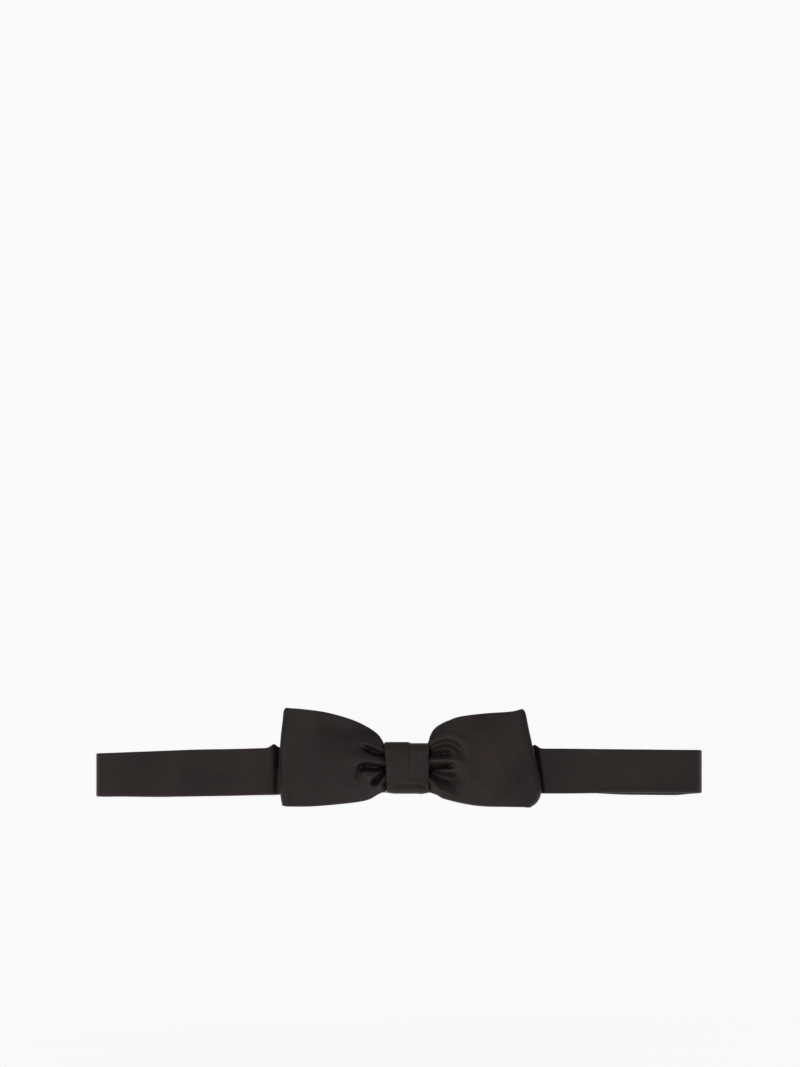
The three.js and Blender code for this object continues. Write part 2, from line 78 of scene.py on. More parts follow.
bl_info = {
    "name": "Bow Tie",
    "version": (1, 0, 0),
    "blender": (4, 5, 0),
    "location": "3D View > Sidebar > Bow Tie",
    "description": "Makes a pre-tied satin bow tie round its frame",
    "category": "Add Mesh",
}

MM = 0.001
PRESSED = 1.6  # how far an ironed edge reaches into the cloth
X, Y, Z = Vector((1, 0, 0)), Vector((0, 1, 0)), Vector((0, 0, 1))


# ---- Places taken from the frame, in millimetres ------------------------------------------------


def cad(node):
    """Lowest and highest corner of a CAD node."""
    low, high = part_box(node)
    return Vector(low) / MM, Vector(high) / MM


def hinge(name):
    """Where a joint's axis stands, seen from above."""
    joint = next(each for each in frame["record"]["behaviour"]["joints"] if each["name"] == name)
    return Vector(joint["pos_m"][:2]) / MM


KNOT_LOW, KNOT_HIGH = cad("knot_wrap")
REAR_LOW, REAR_HIGH = cad("rear_bow_silk")
FRONT_LOW, FRONT_HIGH = cad("neckband_front_silk")
_, LEFT_HIGH = cad("neckband_left_silk")
LOOP_LOW, LOOP_HIGH = cad("slider_end_loop")
SLIDER_LOW, SLIDER_HIGH = cad("slider")
HOOK_BAR = hinge("hook_tilt")
EYE_BAR = hinge("eye_tilt")


# ---- Sizes and colours --------------------------------------------------------------------------


def length(label, description, millimetres):
    value = millimetres * MM
    return FloatProperty(name=label, description=description, default=value, unit="LENGTH")


def amount(label, description, value, **limits):
    return FloatProperty(name=label, description=description, default=value, min=0, **limits)


def share(label, description, value):
    return amount(label, description, value, max=1, subtype="FACTOR")


def colour(label, description, value):
    return FloatVectorProperty(
        name=label, description=description, default=value, size=3, subtype="COLOR", min=0, max=1
    )


class BowTieCloth(bpy.types.PropertyGroup):
    """How thick the covered strips are and how they are folded."""

    bow_thick: length("Bow thickness", "Thickness of a covered strip of the bow", 1.3)
    wing_puff: length("Wing puff", "How far a wing swells in front of the gathered waist", 5.1)
    ripple: length("Ripple", "Height of the slow waves in pressed cloth", 0.34)
    seam_depth: length("Seam depth", "Depth of the seam along the inside of the neckband", 0.22)
    pucker: length("Pucker", "How far a tack draws up the neckband's top edge", 1.6)


class BowTieColours(bpy.types.PropertyGroup):
    """Colours and finishes."""

    silk_dark: colour("Silk, dark", "The satin where it is dullest", (0.0068, 0.0043, 0.0049))
    silk_cool: colour("Silk, cool", "The satin's cooler patches", (0.0058, 0.0057, 0.0051))
    silk_light: colour("Silk, light", "The satin where it is brightest", (0.0262, 0.018, 0.0172))
    silk_shine: colour("Silk highlight", "Colour of the satin's soft sheen", (0.6, 0.49, 0.5))
    silk_glint: colour("Silk glint", "Tint of the satin's mirrored light", (1.0, 0.88, 0.88))
    silk_gloss: share("Silk gloss", "Specular level of the satin", 0.32)
    silk_roughness: share("Silk roughness", "Roughness of the satin", 0.4)
    thread: colour("Thread", "Colour of the sewing thread", (0.012, 0.011, 0.011))
    nickel: colour("Nickel", "Colour of the plated hardware", (0.62, 0.61, 0.59))
    label: colour("Label", "Colour of the blank label", (0.045, 0.042, 0.041))
    floor: colour("Floor", "Colour of the floor", (0.8, 0.8, 0.8))


class BowTieStage(bpy.types.PropertyGroup):
    """The floor, the lights and the camera."""

    floor_drop: length("Floor drop", "How far the floor lies below the origin", 120)
    floor_radius: length("Floor radius", "Radius of the round floor", 40000)
    glow: amount("Floor glow", "Strength of the light that the floor gives", 0.645)
    surround: amount("Surround", "Brightness of the surround that lights the cloth", 0.25)
    backdrop: amount("Backdrop", "Brightness of the surround that the camera sees", 0.955)
    overhead: amount("Overhead light", "Strength of the overhead light", 0.35)
    front: amount("Front light", "Strength of the light in front", 0.3)
    camera_distance: length("Camera distance", "From the camera to the front of the bow", 2500)
    camera_rise: length("Camera rise", "How far the camera stands above the origin", 97.1)
    camera_side: length("Camera side", "How far the camera stands beside the origin", -2.9)
    view_height: length("View height", "Height of the camera's view at the bow", 442.8)


# ---- Curves -------------------------------------------------------------------------------------


def smooth(value):
    value = min(max(value, 0.0), 1.0)
    return value * value * (3 - 2 * value)


def between(low, high, value):
    """0 below low, 1 above high and a smooth rise between them."""
    return smooth((value - low) / (high - low))


def mix(a, b, value):
    return a + (b - a) * value


class Profile:
    """A value that runs smoothly through (place, value) stops, never past them, level at the ends."""

    def __init__(self, *stops):
        self.stops = stops
        rises = [(b[1] - a[1]) / (b[0] - a[0]) for a, b in zip(stops, stops[1:])]
        means = (2 * a * b / (a + b) if a * b > 0 else 0.0 for a, b in zip(rises, rises[1:]))
        self.slopes = [0.0, *means, 0.0]

    def __call__(self, place):
        if place <= self.stops[0][0]:
            return self.stops[0][1]
        if place >= self.stops[-1][0]:
            return self.stops[-1][1]
        i = max(k for k, stop in enumerate(self.stops) if stop[0] <= place)
        (start, low), (end, high) = self.stops[i], self.stops[i + 1]
        wide = end - start
        t = (place - start) / wide
        rise = self.slopes[i] * wide * t * (1 - t) ** 2
        fall = self.slopes[i + 1] * wide * t * t * (1 - t)
        return mix(low, high, smooth(t)) + (rise - fall)


class Line:
    """A smooth curve through points, read by the share of its length from 0 to 1."""

    FINE = 16

    def __init__(self, *points):
        knots = [Vector(point) for point in points]
        ends = [2 * knots[0] - knots[1], *knots, 2 * knots[-1] - knots[-2]]
        self.points = [knots[0]]
        for a, b, c, d in zip(ends, ends[1:], ends[2:], ends[3:]):
            for i in range(1, self.FINE + 1):
                t = i / self.FINE
                bend = (2 * a - 5 * b + 4 * c - d) * t * t + (3 * b - a - 3 * c + d) * t**3
                self.points.append(b + ((c - a) * t + bend) / 2)
        self.reach = [0.0]
        for a, b in zip(self.points, self.points[1:]):
            self.reach.append(self.reach[-1] + (b - a).length)
        self.known = {}

    def __call__(self, part):
        if part not in self.known:
            goal = min(max(part, 0.0), 1.0) * self.reach[-1]
            i = next(k for k in range(1, len(self.reach)) if self.reach[k] >= goal - 1e-9)
            t = (goal - self.reach[i - 1]) / (self.reach[i] - self.reach[i - 1])
            self.known[part] = self.points[i - 1].lerp(self.points[i], t)
        return self.known[part]


class Route:
    """A path of straight runs and round turns, read by distance. A positive turn is to the left."""

    def __init__(self, start, heading):
        self.point, self.heading = Vector(start), math.radians(heading)
        self.legs = []
        self.length = 0.0

    def _add(self, length, bend):
        self.legs.append((self.length, length, self.point.copy(), self.heading, bend))
        self.point, self.heading = self._walk(self.point, self.heading, bend, length)
        self.length += length
        return self

    def run(self, length):
        return self._add(length, 0.0)

    def turn(self, radius, degrees):
        angle = math.radians(degrees)
        return self._add(radius * abs(angle), math.copysign(1 / radius, angle))

    def face(self, degrees):
        self.heading = math.radians(degrees)
        return self

    @staticmethod
    def _walk(point, heading, bend, distance):
        if not bend:
            return point + distance * Vector((math.cos(heading), math.sin(heading))), heading
        after = heading + bend * distance
        side = Vector((math.sin(after) - math.sin(heading), math.cos(heading) - math.cos(after)))
        return point + side / bend, after

    def at(self, distance):
        """The point and the unit direction at a distance from the start."""
        leg = next((each for each in self.legs if distance <= each[0] + each[1]), self.legs[-1])
        start, _, point, heading, bend = leg
        place, heading = self._walk(point, heading, bend, distance - start)
        return place, Vector((math.cos(heading), math.sin(heading)))


# ---- Mesh making --------------------------------------------------------------------------------


SHARP = math.radians(50)


def finished(name, bm, slot):
    """Makes a piece of a bmesh, smooth except at sharp edges, with the finish of a material slot."""
    for face in bm.faces:
        face.smooth = True
    for edge in bm.edges:
        edge.smooth = not edge.is_manifold or edge.calc_face_angle(0) < SHARP
    mesh = bpy.data.meshes.new(name)
    bm.to_mesh(mesh)
    bm.free()
    mesh.materials.append(slot_material(slot))
    piece = bpy.data.objects.new(name, mesh)
    bpy.context.scene.collection.objects.link(piece)
    return piece


def riding(name, bm, slot, body, *nodes):
    """Makes a piece that rides a body in the place of CAD nodes."""
    piece = finished(name, bm, slot)
    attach(piece, body)
    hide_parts(*nodes)
    return piece


def wrapped(bm, steps, around, place, flat, pressed=None, closed=False):
    """Adds a tube to bm: a grid bent so that its long edges meet and are welded.

    place(i, j) puts grid line i of steps and j of around, in millimetres. flat(i, j) is where the
    same point lies on the flat cloth, and becomes the UV map in metres. pressed(i, j) is 1 where an
    iron has flattened the cloth. The two ends are welded to each other if closed, and else capped.
    """
    cloth = bm.loops.layers.uv.get("cloth") or bm.loops.layers.uv.new("cloth")
    ironed = bm.verts.layers.float.get("pressed") or bm.verts.layers.float.new("pressed")
    made = bmesh.ops.create_grid(bm, x_segments=steps, y_segments=around, size=0.5)["verts"]
    where = {v: (round((v.co.x + 0.5) * steps), round((v.co.y + 0.5) * around)) for v in made}
    for vert, spot in where.items():
        for loop in vert.link_loops:
            loop[cloth].uv = Vector(flat(*spot)) * MM
        vert[ironed] = pressed(*spot) if pressed else 0.0
        vert.co = Vector(place(*spot)) * MM
    bmesh.ops.remove_doubles(bm, verts=made, dist=1e-7)
    if not closed:
        bmesh.ops.holes_fill(bm, edges=[edge for edge in bm.edges if edge.is_boundary], sides=0)
    bmesh.ops.recalc_face_normals(bm, faces=bm.faces)


def stadium(count, edge, seam=None):
    """Columns round a flat tube, as (share across, side): side is 1 on the outer face, -1 on the
    inner, and between them on the round edges, which take up a share of the width. seam adds
    columns close to the middle of the inner face."""
    shares = [i / count for i in range(count + 1)]
    shares = [each - 0.85 * math.sin(2 * math.pi * each) / (2 * math.pi) for each in shares]
    shares[-1] = 1.0

    def side(across):
        inwards = min(across, 1 - across) / edge
        return math.sqrt(max(0.0, 1 - (1 - min(inwards, 1.0)) ** 2))

    outer = [(each, side(each)) for each in shares]
    inner = [(each, -side(each)) for each in reversed(shares[:-1])]
    if seam:
        inner = [each for each in inner if abs(each[0] - 0.5) > 3.5 * seam]
        inner += [(0.5 + seam * k, -1.0) for k in (3, 2, 1, 0.5, 0, -0.5, -1, -2, -3)]
        inner.sort(key=lambda each: -each[0])
    return outer + inner


def covered(bm, lengths, columns, width, place, closed=False):
    """Adds a tube of cloth whose two long edges have been ironed."""

    def flat(i, j):
        across = columns[j][0]
        return lengths[i], width * (across if j <= len(columns) // 2 else 2 - across)

    def pressed(i, j):
        across = columns[j][0]
        return 1 - between(0.0, PRESSED / width, min(across, 1 - across))

    wrapped(bm, len(lengths) - 1, len(columns) - 1, place, flat, pressed, closed)


def surface(middle, end, outward):
    """The outward unit normal of a strip's middle surface, as a function of place."""
    fine = 0.02

    def normal(distance, across):
        ahead, above = min(distance + fine, end), min(across + fine, 1)
        along = middle(ahead, across) - middle(ahead - fine, across)
        up = middle(distance, above) - middle(distance, above - fine)
        return along.cross(up).normalized() * outward

    return normal


def strip(bm, middle, lengths, width, thick, outward, columns, shift=None):
    """Adds a covered strip: middle(distance, across) is its middle surface, read at each of lengths.

    outward is 1 or -1, the way round that makes the strip's normal point to its outer face.
    shift(distance, across, side, point) moves a point of the covered surface.
    """
    normal = surface(middle, lengths[-1], outward)

    def place(i, j):
        distance, (across, side) = lengths[i], columns[j]
        point = middle(distance, across) + normal(distance, across) * (side * thick / 2)
        return point + shift(distance, across, side, point) if shift else point

    covered(bm, lengths, columns, width, place)


def spaced(total, step):
    count = max(1, math.ceil(total / step))
    return [total * i / count for i in range(count + 1)]


def rod(bm, route, plane, radius, sides=14, step=0.4, closed=False):
    """Adds a round bar along a route drawn in a plane, given as its origin and its two axes."""
    origin, first, second = plane
    normal = first.cross(second)
    lengths = spaced(route.length, step)

    def place(i, j):
        point, way = route.at(lengths[i] % route.length if closed else lengths[i])
        out = first * way.y - second * way.x
        angle = 2 * math.pi * j / sides
        centre = origin + first * point.x + second * point.y
        return centre + radius * (math.cos(angle) * out + math.sin(angle) * normal)

    def flat(i, j):
        return lengths[i], 2 * math.pi * radius * j / sides

    wrapped(bm, len(lengths) - 1, sides, place, flat, closed=closed)


def plate(bm, size, centre, rounding):
    """Adds a block with rounded edges."""
    made = bmesh.ops.create_cube(bm, size=MM)["verts"]
    bmesh.ops.scale(bm, verts=made, vec=size)
    bmesh.ops.translate(bm, verts=made, vec=Vector(centre) * MM)
    edges = list(dict.fromkeys(edge for vert in made for edge in vert.link_edges))
    bmesh.ops.bevel(
        bm, geom=edges, offset=rounding * MM, segments=3, profile=0.5, affect="EDGES", material=-1
    )


def stitch(bm, start, end, radius=0.13):
    """Adds one stitch: a short thread whose ends sink into the cloth."""
    start, end = Vector(start), Vector(end)
    along = end - start
    size = Matrix.Diagonal((radius * MM, radius * MM, (along.length / 2 + radius / 2) * MM, 1))
    turn = along.to_track_quat("Z", "Y").to_matrix().to_4x4()
    place = Matrix.Translation((start + end) / 2 * MM) @ turn @ size
    bmesh.ops.create_uvsphere(bm, u_segments=8, v_segments=6, radius=1, matrix=place)


# ---- Materials ----------------------------------------------------------------------------------


class Number:
    """A shader socket that takes part in sums. Each sum adds a Math node."""

    def __init__(self, nodes, socket):
        self.nodes, self.socket = nodes, socket

    def _sum(self, operation, *values):
        node = self.nodes.add("ShaderNodeMath", {"operation": operation}, dict(enumerate(values)))
        return Number(self.nodes, node.outputs[0])

    def __add__(self, other):
        return self._sum("ADD", self, other)

    def __sub__(self, other):
        return self._sum("SUBTRACT", self, other)

    def __rsub__(self, other):
        return self._sum("SUBTRACT", other, self)

    def __mul__(self, other):
        return self._sum("MULTIPLY", self, other)

    def __truediv__(self, other):
        return self._sum("DIVIDE", self, other)

    def __rtruediv__(self, other):
        return self._sum("DIVIDE", other, self)

    __radd__, __rmul__ = __add__, __mul__

    def sine(self):
        return self._sum("SINE", self)

    def rise(self, low, high):
        """0 below low, 1 above high and smooth between them."""
        values = {"Value": self, "From Min": low, "From Max": high}
        node = self.nodes.add("ShaderNodeMapRange", {"interpolation_type": "SMOOTHSTEP"}, values)
        return Number(self.nodes, node.outputs[0])


class Nodes:
    """Adds nodes to a node tree that starts empty."""

    def __init__(self, tree):
        self.tree = tree
        self.tree.nodes.clear()

    def add(self, kind, settings, values):
        """Any node, by its type, then its settings, then the values and links of its sockets."""
        node = self.tree.nodes.new(kind)
        for name, value in settings.items():
            setattr(node, name, value)
        for key, value in values.items():
            socket = node.inputs[key]
            value = value.socket if isinstance(value, Number) else value
            if isinstance(value, bpy.types.NodeSocket):
                self.tree.links.new(value, socket)
            else:
                socket.default_value = value
        return node

    def flat_cloth(self):
        """The place on the flat cloth, in metres: along the strip and across it."""
        uv = self.add("ShaderNodeUVMap", {"uv_map": "cloth"}, {})
        parts = self.add("ShaderNodeSeparateXYZ", {}, {0: uv.outputs[0]})
        return Number(self, parts.outputs[0]), Number(self, parts.outputs[1])

    def place(self):
        return self.add("ShaderNodeTexCoord", {}, {}).outputs["Object"]

    def attribute(self, name):
        node = self.add("ShaderNodeAttribute", {"attribute_name": name}, {})
        return Number(self, node.outputs["Fac"])

    def noise(self, scale, detail=2.0):
        values = {"Vector": self.place(), "Scale": scale, "Detail": detail}
        return Number(self, self.add("ShaderNodeTexNoise", {}, values).outputs[0])

    def tint(self, amount, low, high):
        """A colour between two others, each a colour socket or three numbers."""
        values = {0: amount}
        for key, side in ((6, low), (7, high)):
            values[key] = side if isinstance(side, bpy.types.NodeSocket) else (*side, 1)
        return self.add("ShaderNodeMix", {"data_type": "RGBA"}, values).outputs[2]

    def shades(self, amount, tint, low, high):
        """A colour between two shades of one tint, each given as its share of the tint."""
        return self.tint(amount, *(tuple(part * share for part in tint) for share in (low, high)))

    def bump(self, height, distance, strength, under=None):
        """A normal from a height between 0 and 1, over a distance in metres."""
        values = {"Height": height, "Distance": distance, "Strength": strength}
        if under:
            values["Normal"] = under
        return self.add("ShaderNodeBump", {}, values).outputs[0]


class Finish(Nodes):
    """One material: a principled shader whose varying sockets are linked at the end."""

    def __init__(self, name, **constants):
        self.material = bpy.data.materials.new(name)
        self.material.use_nodes = True
        super().__init__(self.material.node_tree)
        values = {key.replace("_", " "): value for key, value in constants.items()}
        self.shader = self.add("ShaderNodeBsdfPrincipled", {}, values)
        self.add("ShaderNodeOutputMaterial", {}, {"Surface": self.shader.outputs[0]})

    def made(self, colour, roughness, normal):
        for name, value in (("Base Color", colour), ("Roughness", roughness), ("Normal", normal)):
            value = value.socket if isinstance(value, Number) else value
            self.tree.links.new(value, self.shader.inputs[name])
        return self.material


def waves(place, pitch):
    """A ridge for every pitch, in metres, from 0 to 1."""
    return (place * (2 * math.pi / pitch)).sine() * 0.5 + 0.5


def satin(name, tints):
    """Satin: long floats over a fine warp, so that its ribs run slantwise and catch the light."""
    finish = Finish(
        name,
        Sheen_Weight=0.32,
        Sheen_Roughness=0.26,
        Sheen_Tint=(*tints.silk_shine, 1),
        Specular_IOR_Level=tints.silk_gloss,
        Specular_Tint=(*tints.silk_glint, 1),
    )
    along, across = finish.flat_cloth()
    threads = waves(across, 0.00017)
    floats = waves(along + across * 2.4, 0.00062)
    weave = threads * 0.55 + floats * 0.45
    cloud = finish.noise(38.0, 3.0)
    slub = finish.noise(420.0, 2.0)
    pressed = finish.attribute("pressed")
    tone = cloud * 0.65 + slub * 0.2 + weave * 0.15 + pressed * 0.12
    dark = finish.tint(finish.noise(71.0).rise(0.42, 0.6), tints.silk_dark, tints.silk_cool)
    colour = finish.tint(tone.rise(0.25, 0.8), dark, tints.silk_light)
    rough = tints.silk_roughness + (cloud - 0.5) * 0.14 + (0.5 - floats) * 0.05 - pressed * 0.07
    fine = finish.bump(weave, 0.00003, 0.3)
    return finish.made(colour, rough, finish.bump(cloud, 0.0005, 0.2, fine))


def twisted(name, tints):
    """Sewing thread: fibres too fine to count, with a dull shine."""
    finish = Finish(name, Sheen_Weight=0.25, Sheen_Roughness=0.5)
    fibre = finish.noise(5200.0, 3.0)
    colour = finish.shades(fibre, tints.thread, 0.6, 1.8)
    return finish.made(colour, 0.6 + fibre * 0.25, finish.bump(fibre, 0.00005, 0.5))


def plated(name, tints):
    """Nickel plate on stamped steel: bright, with fine scuffs and faint dulling."""
    finish = Finish(name, Metallic=1.0)
    scuff = finish.noise(1100.0, 4.0)
    haze = finish.noise(140.0, 3.0)
    colour = finish.shades(haze, tints.nickel, 0.78, 1.1)
    rough = 0.16 + haze * 0.14 + scuff.rise(0.55, 0.8) * 0.2
    return finish.made(colour, rough, finish.bump(scuff, 0.00001, 0.12))


def damask(name, tints):
    """A blank label with a closer weave than the silk, and a dull stripe along its edges."""
    finish = Finish(name, Sheen_Weight=0.15)
    along, across = finish.flat_cloth()
    weave = waves(along, 0.0003) * 0.5 + waves(across, 0.00024) * 0.5
    tone = weave * 0.4 + finish.noise(200.0) * 0.4 + finish.attribute("pressed") * 0.4
    colour = finish.shades(tone, tints.label, 0.7, 1.6)
    return finish.made(colour, 0.5 + weave * 0.15, finish.bump(weave, 0.00004, 0.5))


def painted(name, tints):
    """The floor: matt, and lit a little from inside like a light table."""
    glow = bpy.context.scene.bow_tie_stage.glow
    white = (1, 1, 1, 1)
    finish = Finish(name, Specular_IOR_Level=0.0, Emission_Color=white, Emission_Strength=glow)
    grain = finish.noise(30.0, 2.0)
    colour = finish.shades(grain, tints.floor, 0.995, 1.0)
    return finish.made(colour, 0.9 + grain * 0.05, finish.bump(grain, 0.0001, 0.02))


FINISHES = {
    "black_silk": satin,
    "black_thread": twisted,
    "nickel": plated,
    "label_satin": damask,
    "floor_paint": painted,
}


def slot_material(slot):
    """The material of a slot, made when it is first asked for."""
    name = f"{slot} finish"
    if name not in bpy.data.materials:
        FINISHES[slot](name, bpy.context.scene.bow_tie_colours)
    return bpy.data.materials[name]


def cloth_sizes():
    """The cloth's sizes in millimetres, by name."""
    group = bpy.context.scene.bow_tie_cloth
    return {name: getattr(group, name) / MM for name in BowTieCloth.__annotations__}


# ---- Bow ----------------------------------------------------------------------------------------


class Outline:
    """A wing seen from the front, between four edges: top, bottom, outer end and the knot."""

    def __init__(self, top, bottom, outer):
        self.top, self.bottom, self.outer = Line(*top), Line(*bottom), Line(*outer)
        self.inner = Line(bottom[0], top[0])

    def __call__(self, out, up):
        """The point at a share of the way out and a share of the way up, in X and Z."""
        near, far = self.inner(up), self.outer(up)
        first, last = (mix(self.bottom(end), self.top(end), up) for end in (0, 1))
        corners = mix(first, last, out)
        return mix(self.bottom(out), self.top(out), up) + mix(near, far, out) - corners


LEFT_WING = Outline(
    top=[
        (-7, 8.4), (-9.5, 9.4), (-10.7, 11.4), (-12.3, 13.8), (-16.6, 16.9), (-23.2, 20),
        (-33.5, 22.9), (-44, 24.3), (-49.4, 24.6),
    ],
    bottom=[
        (-7, -8.4), (-9.6, -10), (-12.1, -11.2), (-17.4, -13.8), (-29, -15.4), (-41, -16.3),
        (-51.2, -16.3),
    ],
    outer=[
        (-51.2, -16.3), (-52.1, -10.5), (-52.4, 0), (-52.1, 10), (-51.1, 19.2), (-50.6, 23.3),
        (-49.4, 24.6),
    ],
)
RIGHT_WING = Outline(
    top=[
        (7, 8.4), (8.9, 9.7), (9.7, 12), (11.3, 15), (14.3, 17.5), (20.6, 20.8), (31.6, 22.4),
        (42, 23.1), (47, 23.9),
    ],
    bottom=[
        (7, -8.4), (9.8, -10.4), (12.4, -11.4), (15.6, -13.1), (21.8, -14.4), (30, -15.9),
        (40.3, -16.4), (50.4, -16.6),
    ],
    outer=[
        (50.4, -16.6), (53.6, -14.2), (55.2, -10.4), (54.7, -5.7), (53.3, 1), (51.7, 8.2),
        (50, 15.9), (48.6, 22.6), (47, 23.9),
    ],
)
REAR_LEFT_WING = Outline(
    top=[(-3, 8), (-9.2, 8.6), (-12.5, 12), (-18, 15.3), (-28, 18.6), (-40, 20.8), (-49, 21.6)],
    bottom=[
        (-3, -8), (-9.4, -8.8), (-13, -10.4), (-20, -12.8), (-31, -14), (-41, -14.8), (-49.3, -15),
    ],
    outer=[(-49.3, -15), (-50, -9), (-50.1, 4), (-49.6, 15), (-49, 21.6)],
)
REAR_RIGHT_WING = Outline(
    top=[(3, 8), (8.4, 9.6), (9.4, 12.4), (11, 15.4), (14, 17.8), (20.4, 20.2), (32, 21.2), (46, 22)],
    bottom=[
        (3, -8), (9.6, -10.2), (12.2, -11.6), (15.4, -13.3), (21.6, -15), (30, -16.4), (41, -16.7),
        (52, -16),
    ],
    outer=[(52, -16), (53.6, -12), (53.2, -5), (51.4, 5), (49, 15), (46, 22)],
)


class Pleat:
    """A groove pressed into a wing along a line, deepest at the knot; a ridge if depth is negative.

    A soft one is a round hollow. The others have steeper sides and a flatter floor.
    """

    MARKS = 24
    ROUND, FLAT_FLOORED = 2, 2.6
    FARTHEST = 3  # in widths

    def __init__(self, points, depth, width, fade=0.55, spread=1.0, soft=False):
        line = Line(*points)
        self.depth, self.width, self.fade, self.spread = depth, width, fade, spread
        self.power = self.ROUND if soft or depth < 0 else self.FLAT_FLOORED
        parts = [i / self.MARKS for i in range(self.MARKS + 1)]
        places = [line(part) for part in parts]
        ways = [after - before for before, after in zip(places, places[1:])]
        self.marks = list(zip(parts, places, ways + ways[-1:]))

    def __call__(self, x, z):
        here = Vector((x, z))
        part, near, way = min(self.marks, key=lambda mark: (mark[1] - here).length_squared)
        offset = here - near
        offset -= way * min(max(offset.dot(way) / way.length_squared, -0.5), 0.5)
        away = offset.length / (self.width * mix(1, self.spread, part))
        if away > self.FARTHEST:
            return 0.0
        left = 1 - between(self.fade, 1.0, part)
        return self.depth * math.exp(-(away**self.power)) * left


LEFT_PLEATS = [
    Pleat([(-7.5, 4.0), (-9.4, 4.7), (-12.8, 6.1), (-17.2, 8.1), (-20.5, 9.4)], 3.4, 1.0, 0.55, 1.2),
    Pleat([(-7.5, 6.3), (-12, 8.7), (-18, 10.8), (-24, 12)], -0.9, 1.3, 0.4, 1.6),
    Pleat([(-7.5, -0.2), (-12, 0), (-18, 0.3), (-20, -1.6), (-19.8, -5.2)], 3.9, 1.05, 0.5, 1.5),
    Pleat([(-7.5, 2.0), (-12, 2.8), (-20, 4.2), (-28, 5)], -1.0, 1.2, 0.4, 1.7),
    Pleat([(-8, -1.0), (-9.6, -2.0), (-12.2, -4.6), (-14.9, -7.6)], 3.5, 0.9, 0.72, 1.5),
    Pleat([(-8, -3.8), (-11, -6.6), (-14, -9.6)], -0.7, 1.0, 0.5),
    Pleat([(-11.6, -2), (-14.6, -3.5), (-17, -5)], -0.9, 1.0, 0.6),
    Pleat([(-14, 13), (-22, 15), (-32, 17), (-42, 20)], 0.9, 3.0, 0.4, 1.5, soft=True),
]
RIGHT_PLEATS = [
    Pleat([(7.5, 5.1), (12, 5.4), (17.5, 5.9), (20.5, 6.1)], 3.5, 1.2, 0.6),
    Pleat(
        [(9.6, 7.4), (12.8, 9.2), (16.6, 10), (20, 8.8), (23, 6), (26.2, 2.4)],
        2.1, 1.5, 0.55, 1.2, soft=True,
    ),
    Pleat([(8.6, 9.8), (12, 12.2), (16.4, 13.4), (22, 12), (27, 7.4)], -0.5, 1.7, 0.6),
    Pleat([(7.5, 2.9), (14, 3.2), (20, 3.3), (24, 2.8)], -1.1, 0.9, 0.6),
    Pleat([(7.5, 0.1), (12, 0.3), (18, 0.7), (21.5, 0.8)], 4.4, 1.15, 0.6),
    Pleat([(9, -1.6), (13, -3.2), (18.5, -4.6), (26, -5.6)], 4.3, 1.6, 0.5, 2.6, soft=True),
    Pleat([(14, -6.4), (20, -8.6), (27, -12)], 0.9, 2.6, 0.5, 1.3, soft=True),
    Pleat([(9.5, -5.4), (13, -8.4), (18, -11)], -0.9, 1.4, 0.5),
]


class Wing:
    """The front bow's strip on one side: a back panel, the outer fold and a front panel."""

    BACK, FRONT = 44.0, 46.0
    WIDTH = 40.0
    FOLD_RADIUS = 2.2
    WAIST_Y = -8.3
    INSET = 0.012  # how far the back panel stays inside the front one's outline
    GAP = 0.3
    BACK_STEP, FOLD_STEP, FRONT_STEP, COLUMNS = 1.6, 0.55, 0.5, 92

    def __init__(self, side, outline, pleats, sizes):
        self.side, self.outline, self.pleats = side, outline, pleats
        self.thick, self.ripple = sizes["bow_thick"], sizes["ripple"]
        self.back_y = REAR_LOW.y - self.GAP - self.thick / 2
        self.fold_y = self.back_y - self.GAP
        self.turned = self.BACK + self.FOLD_RADIUS * math.pi
        self.length = self.turned + self.FRONT
        self.reach = 1 - self.FOLD_RADIUS / self.FRONT
        puff = sizes["wing_puff"]
        fold = self.WAIST_Y - self.fold_y + 2 * self.FOLD_RADIUS
        self.puff = Profile(
            (0, 0.6), (0.05, 0.42 * puff), (0.13, 0.86 * puff), (0.26, 1.04 * puff), (0.42, puff),
            (0.7, 0.76 * puff), (1, fold),
        )

    def middle(self, distance, up):
        """The strip's middle surface, from its back end in the knot round to its front end."""
        inset = self.INSET
        if distance < self.BACK:
            out = self.reach * distance / self.BACK
            y = mix(self.back_y, self.fold_y, out / self.reach)
        elif distance < self.turned:
            angle = (distance - self.BACK) / self.FOLD_RADIUS
            out = self.reach + (1 - self.reach) * math.sin(angle)
            y = self.fold_y - self.FOLD_RADIUS * (1 - math.cos(angle))
            inset *= 1 - smooth(angle / math.pi)
        else:
            part = 1 - (distance - self.turned) / self.FRONT
            out = self.reach * part
            crown = mix(0.65, 0.16, smooth(part * 1.1)) * (2 * up - 1) ** 2 * (1 - part**6)
            y = self.WAIST_Y - self.puff(part) * (1 - crown)
            inset = 0
        point = self.outline(max(out, 0), mix(inset, 1 - inset, up))
        return Vector((point.x, y, point.y))

    def shift(self, distance, up, side, point):
        """Pleats and slow waves, pressed into the front panel."""
        front = between(self.turned, self.turned + 2, distance)
        wave = noise.noise(Vector((point.x / 13, point.z / 11, self.side * 7.0)))
        depth = self.ripple * wave * (0.4 + 0.6 * front)
        if front:
            depth += front * sum(pleat(point.x, point.z) for pleat in self.pleats)
        return Vector((0, depth, 0))

    def add(self, bm):
        lengths = spaced(self.BACK, self.BACK_STEP)
        turn = spaced(self.turned - self.BACK, self.FOLD_STEP)
        lengths += [self.BACK + each for each in turn[1:]]
        lengths += [self.turned + each for each in spaced(self.FRONT, self.FRONT_STEP)[1:]]
        columns = stadium(self.COLUMNS, self.thick / 2 / self.WIDTH)
        strip(bm, self.middle, lengths, self.WIDTH, self.thick, -self.side, columns, self.shift)


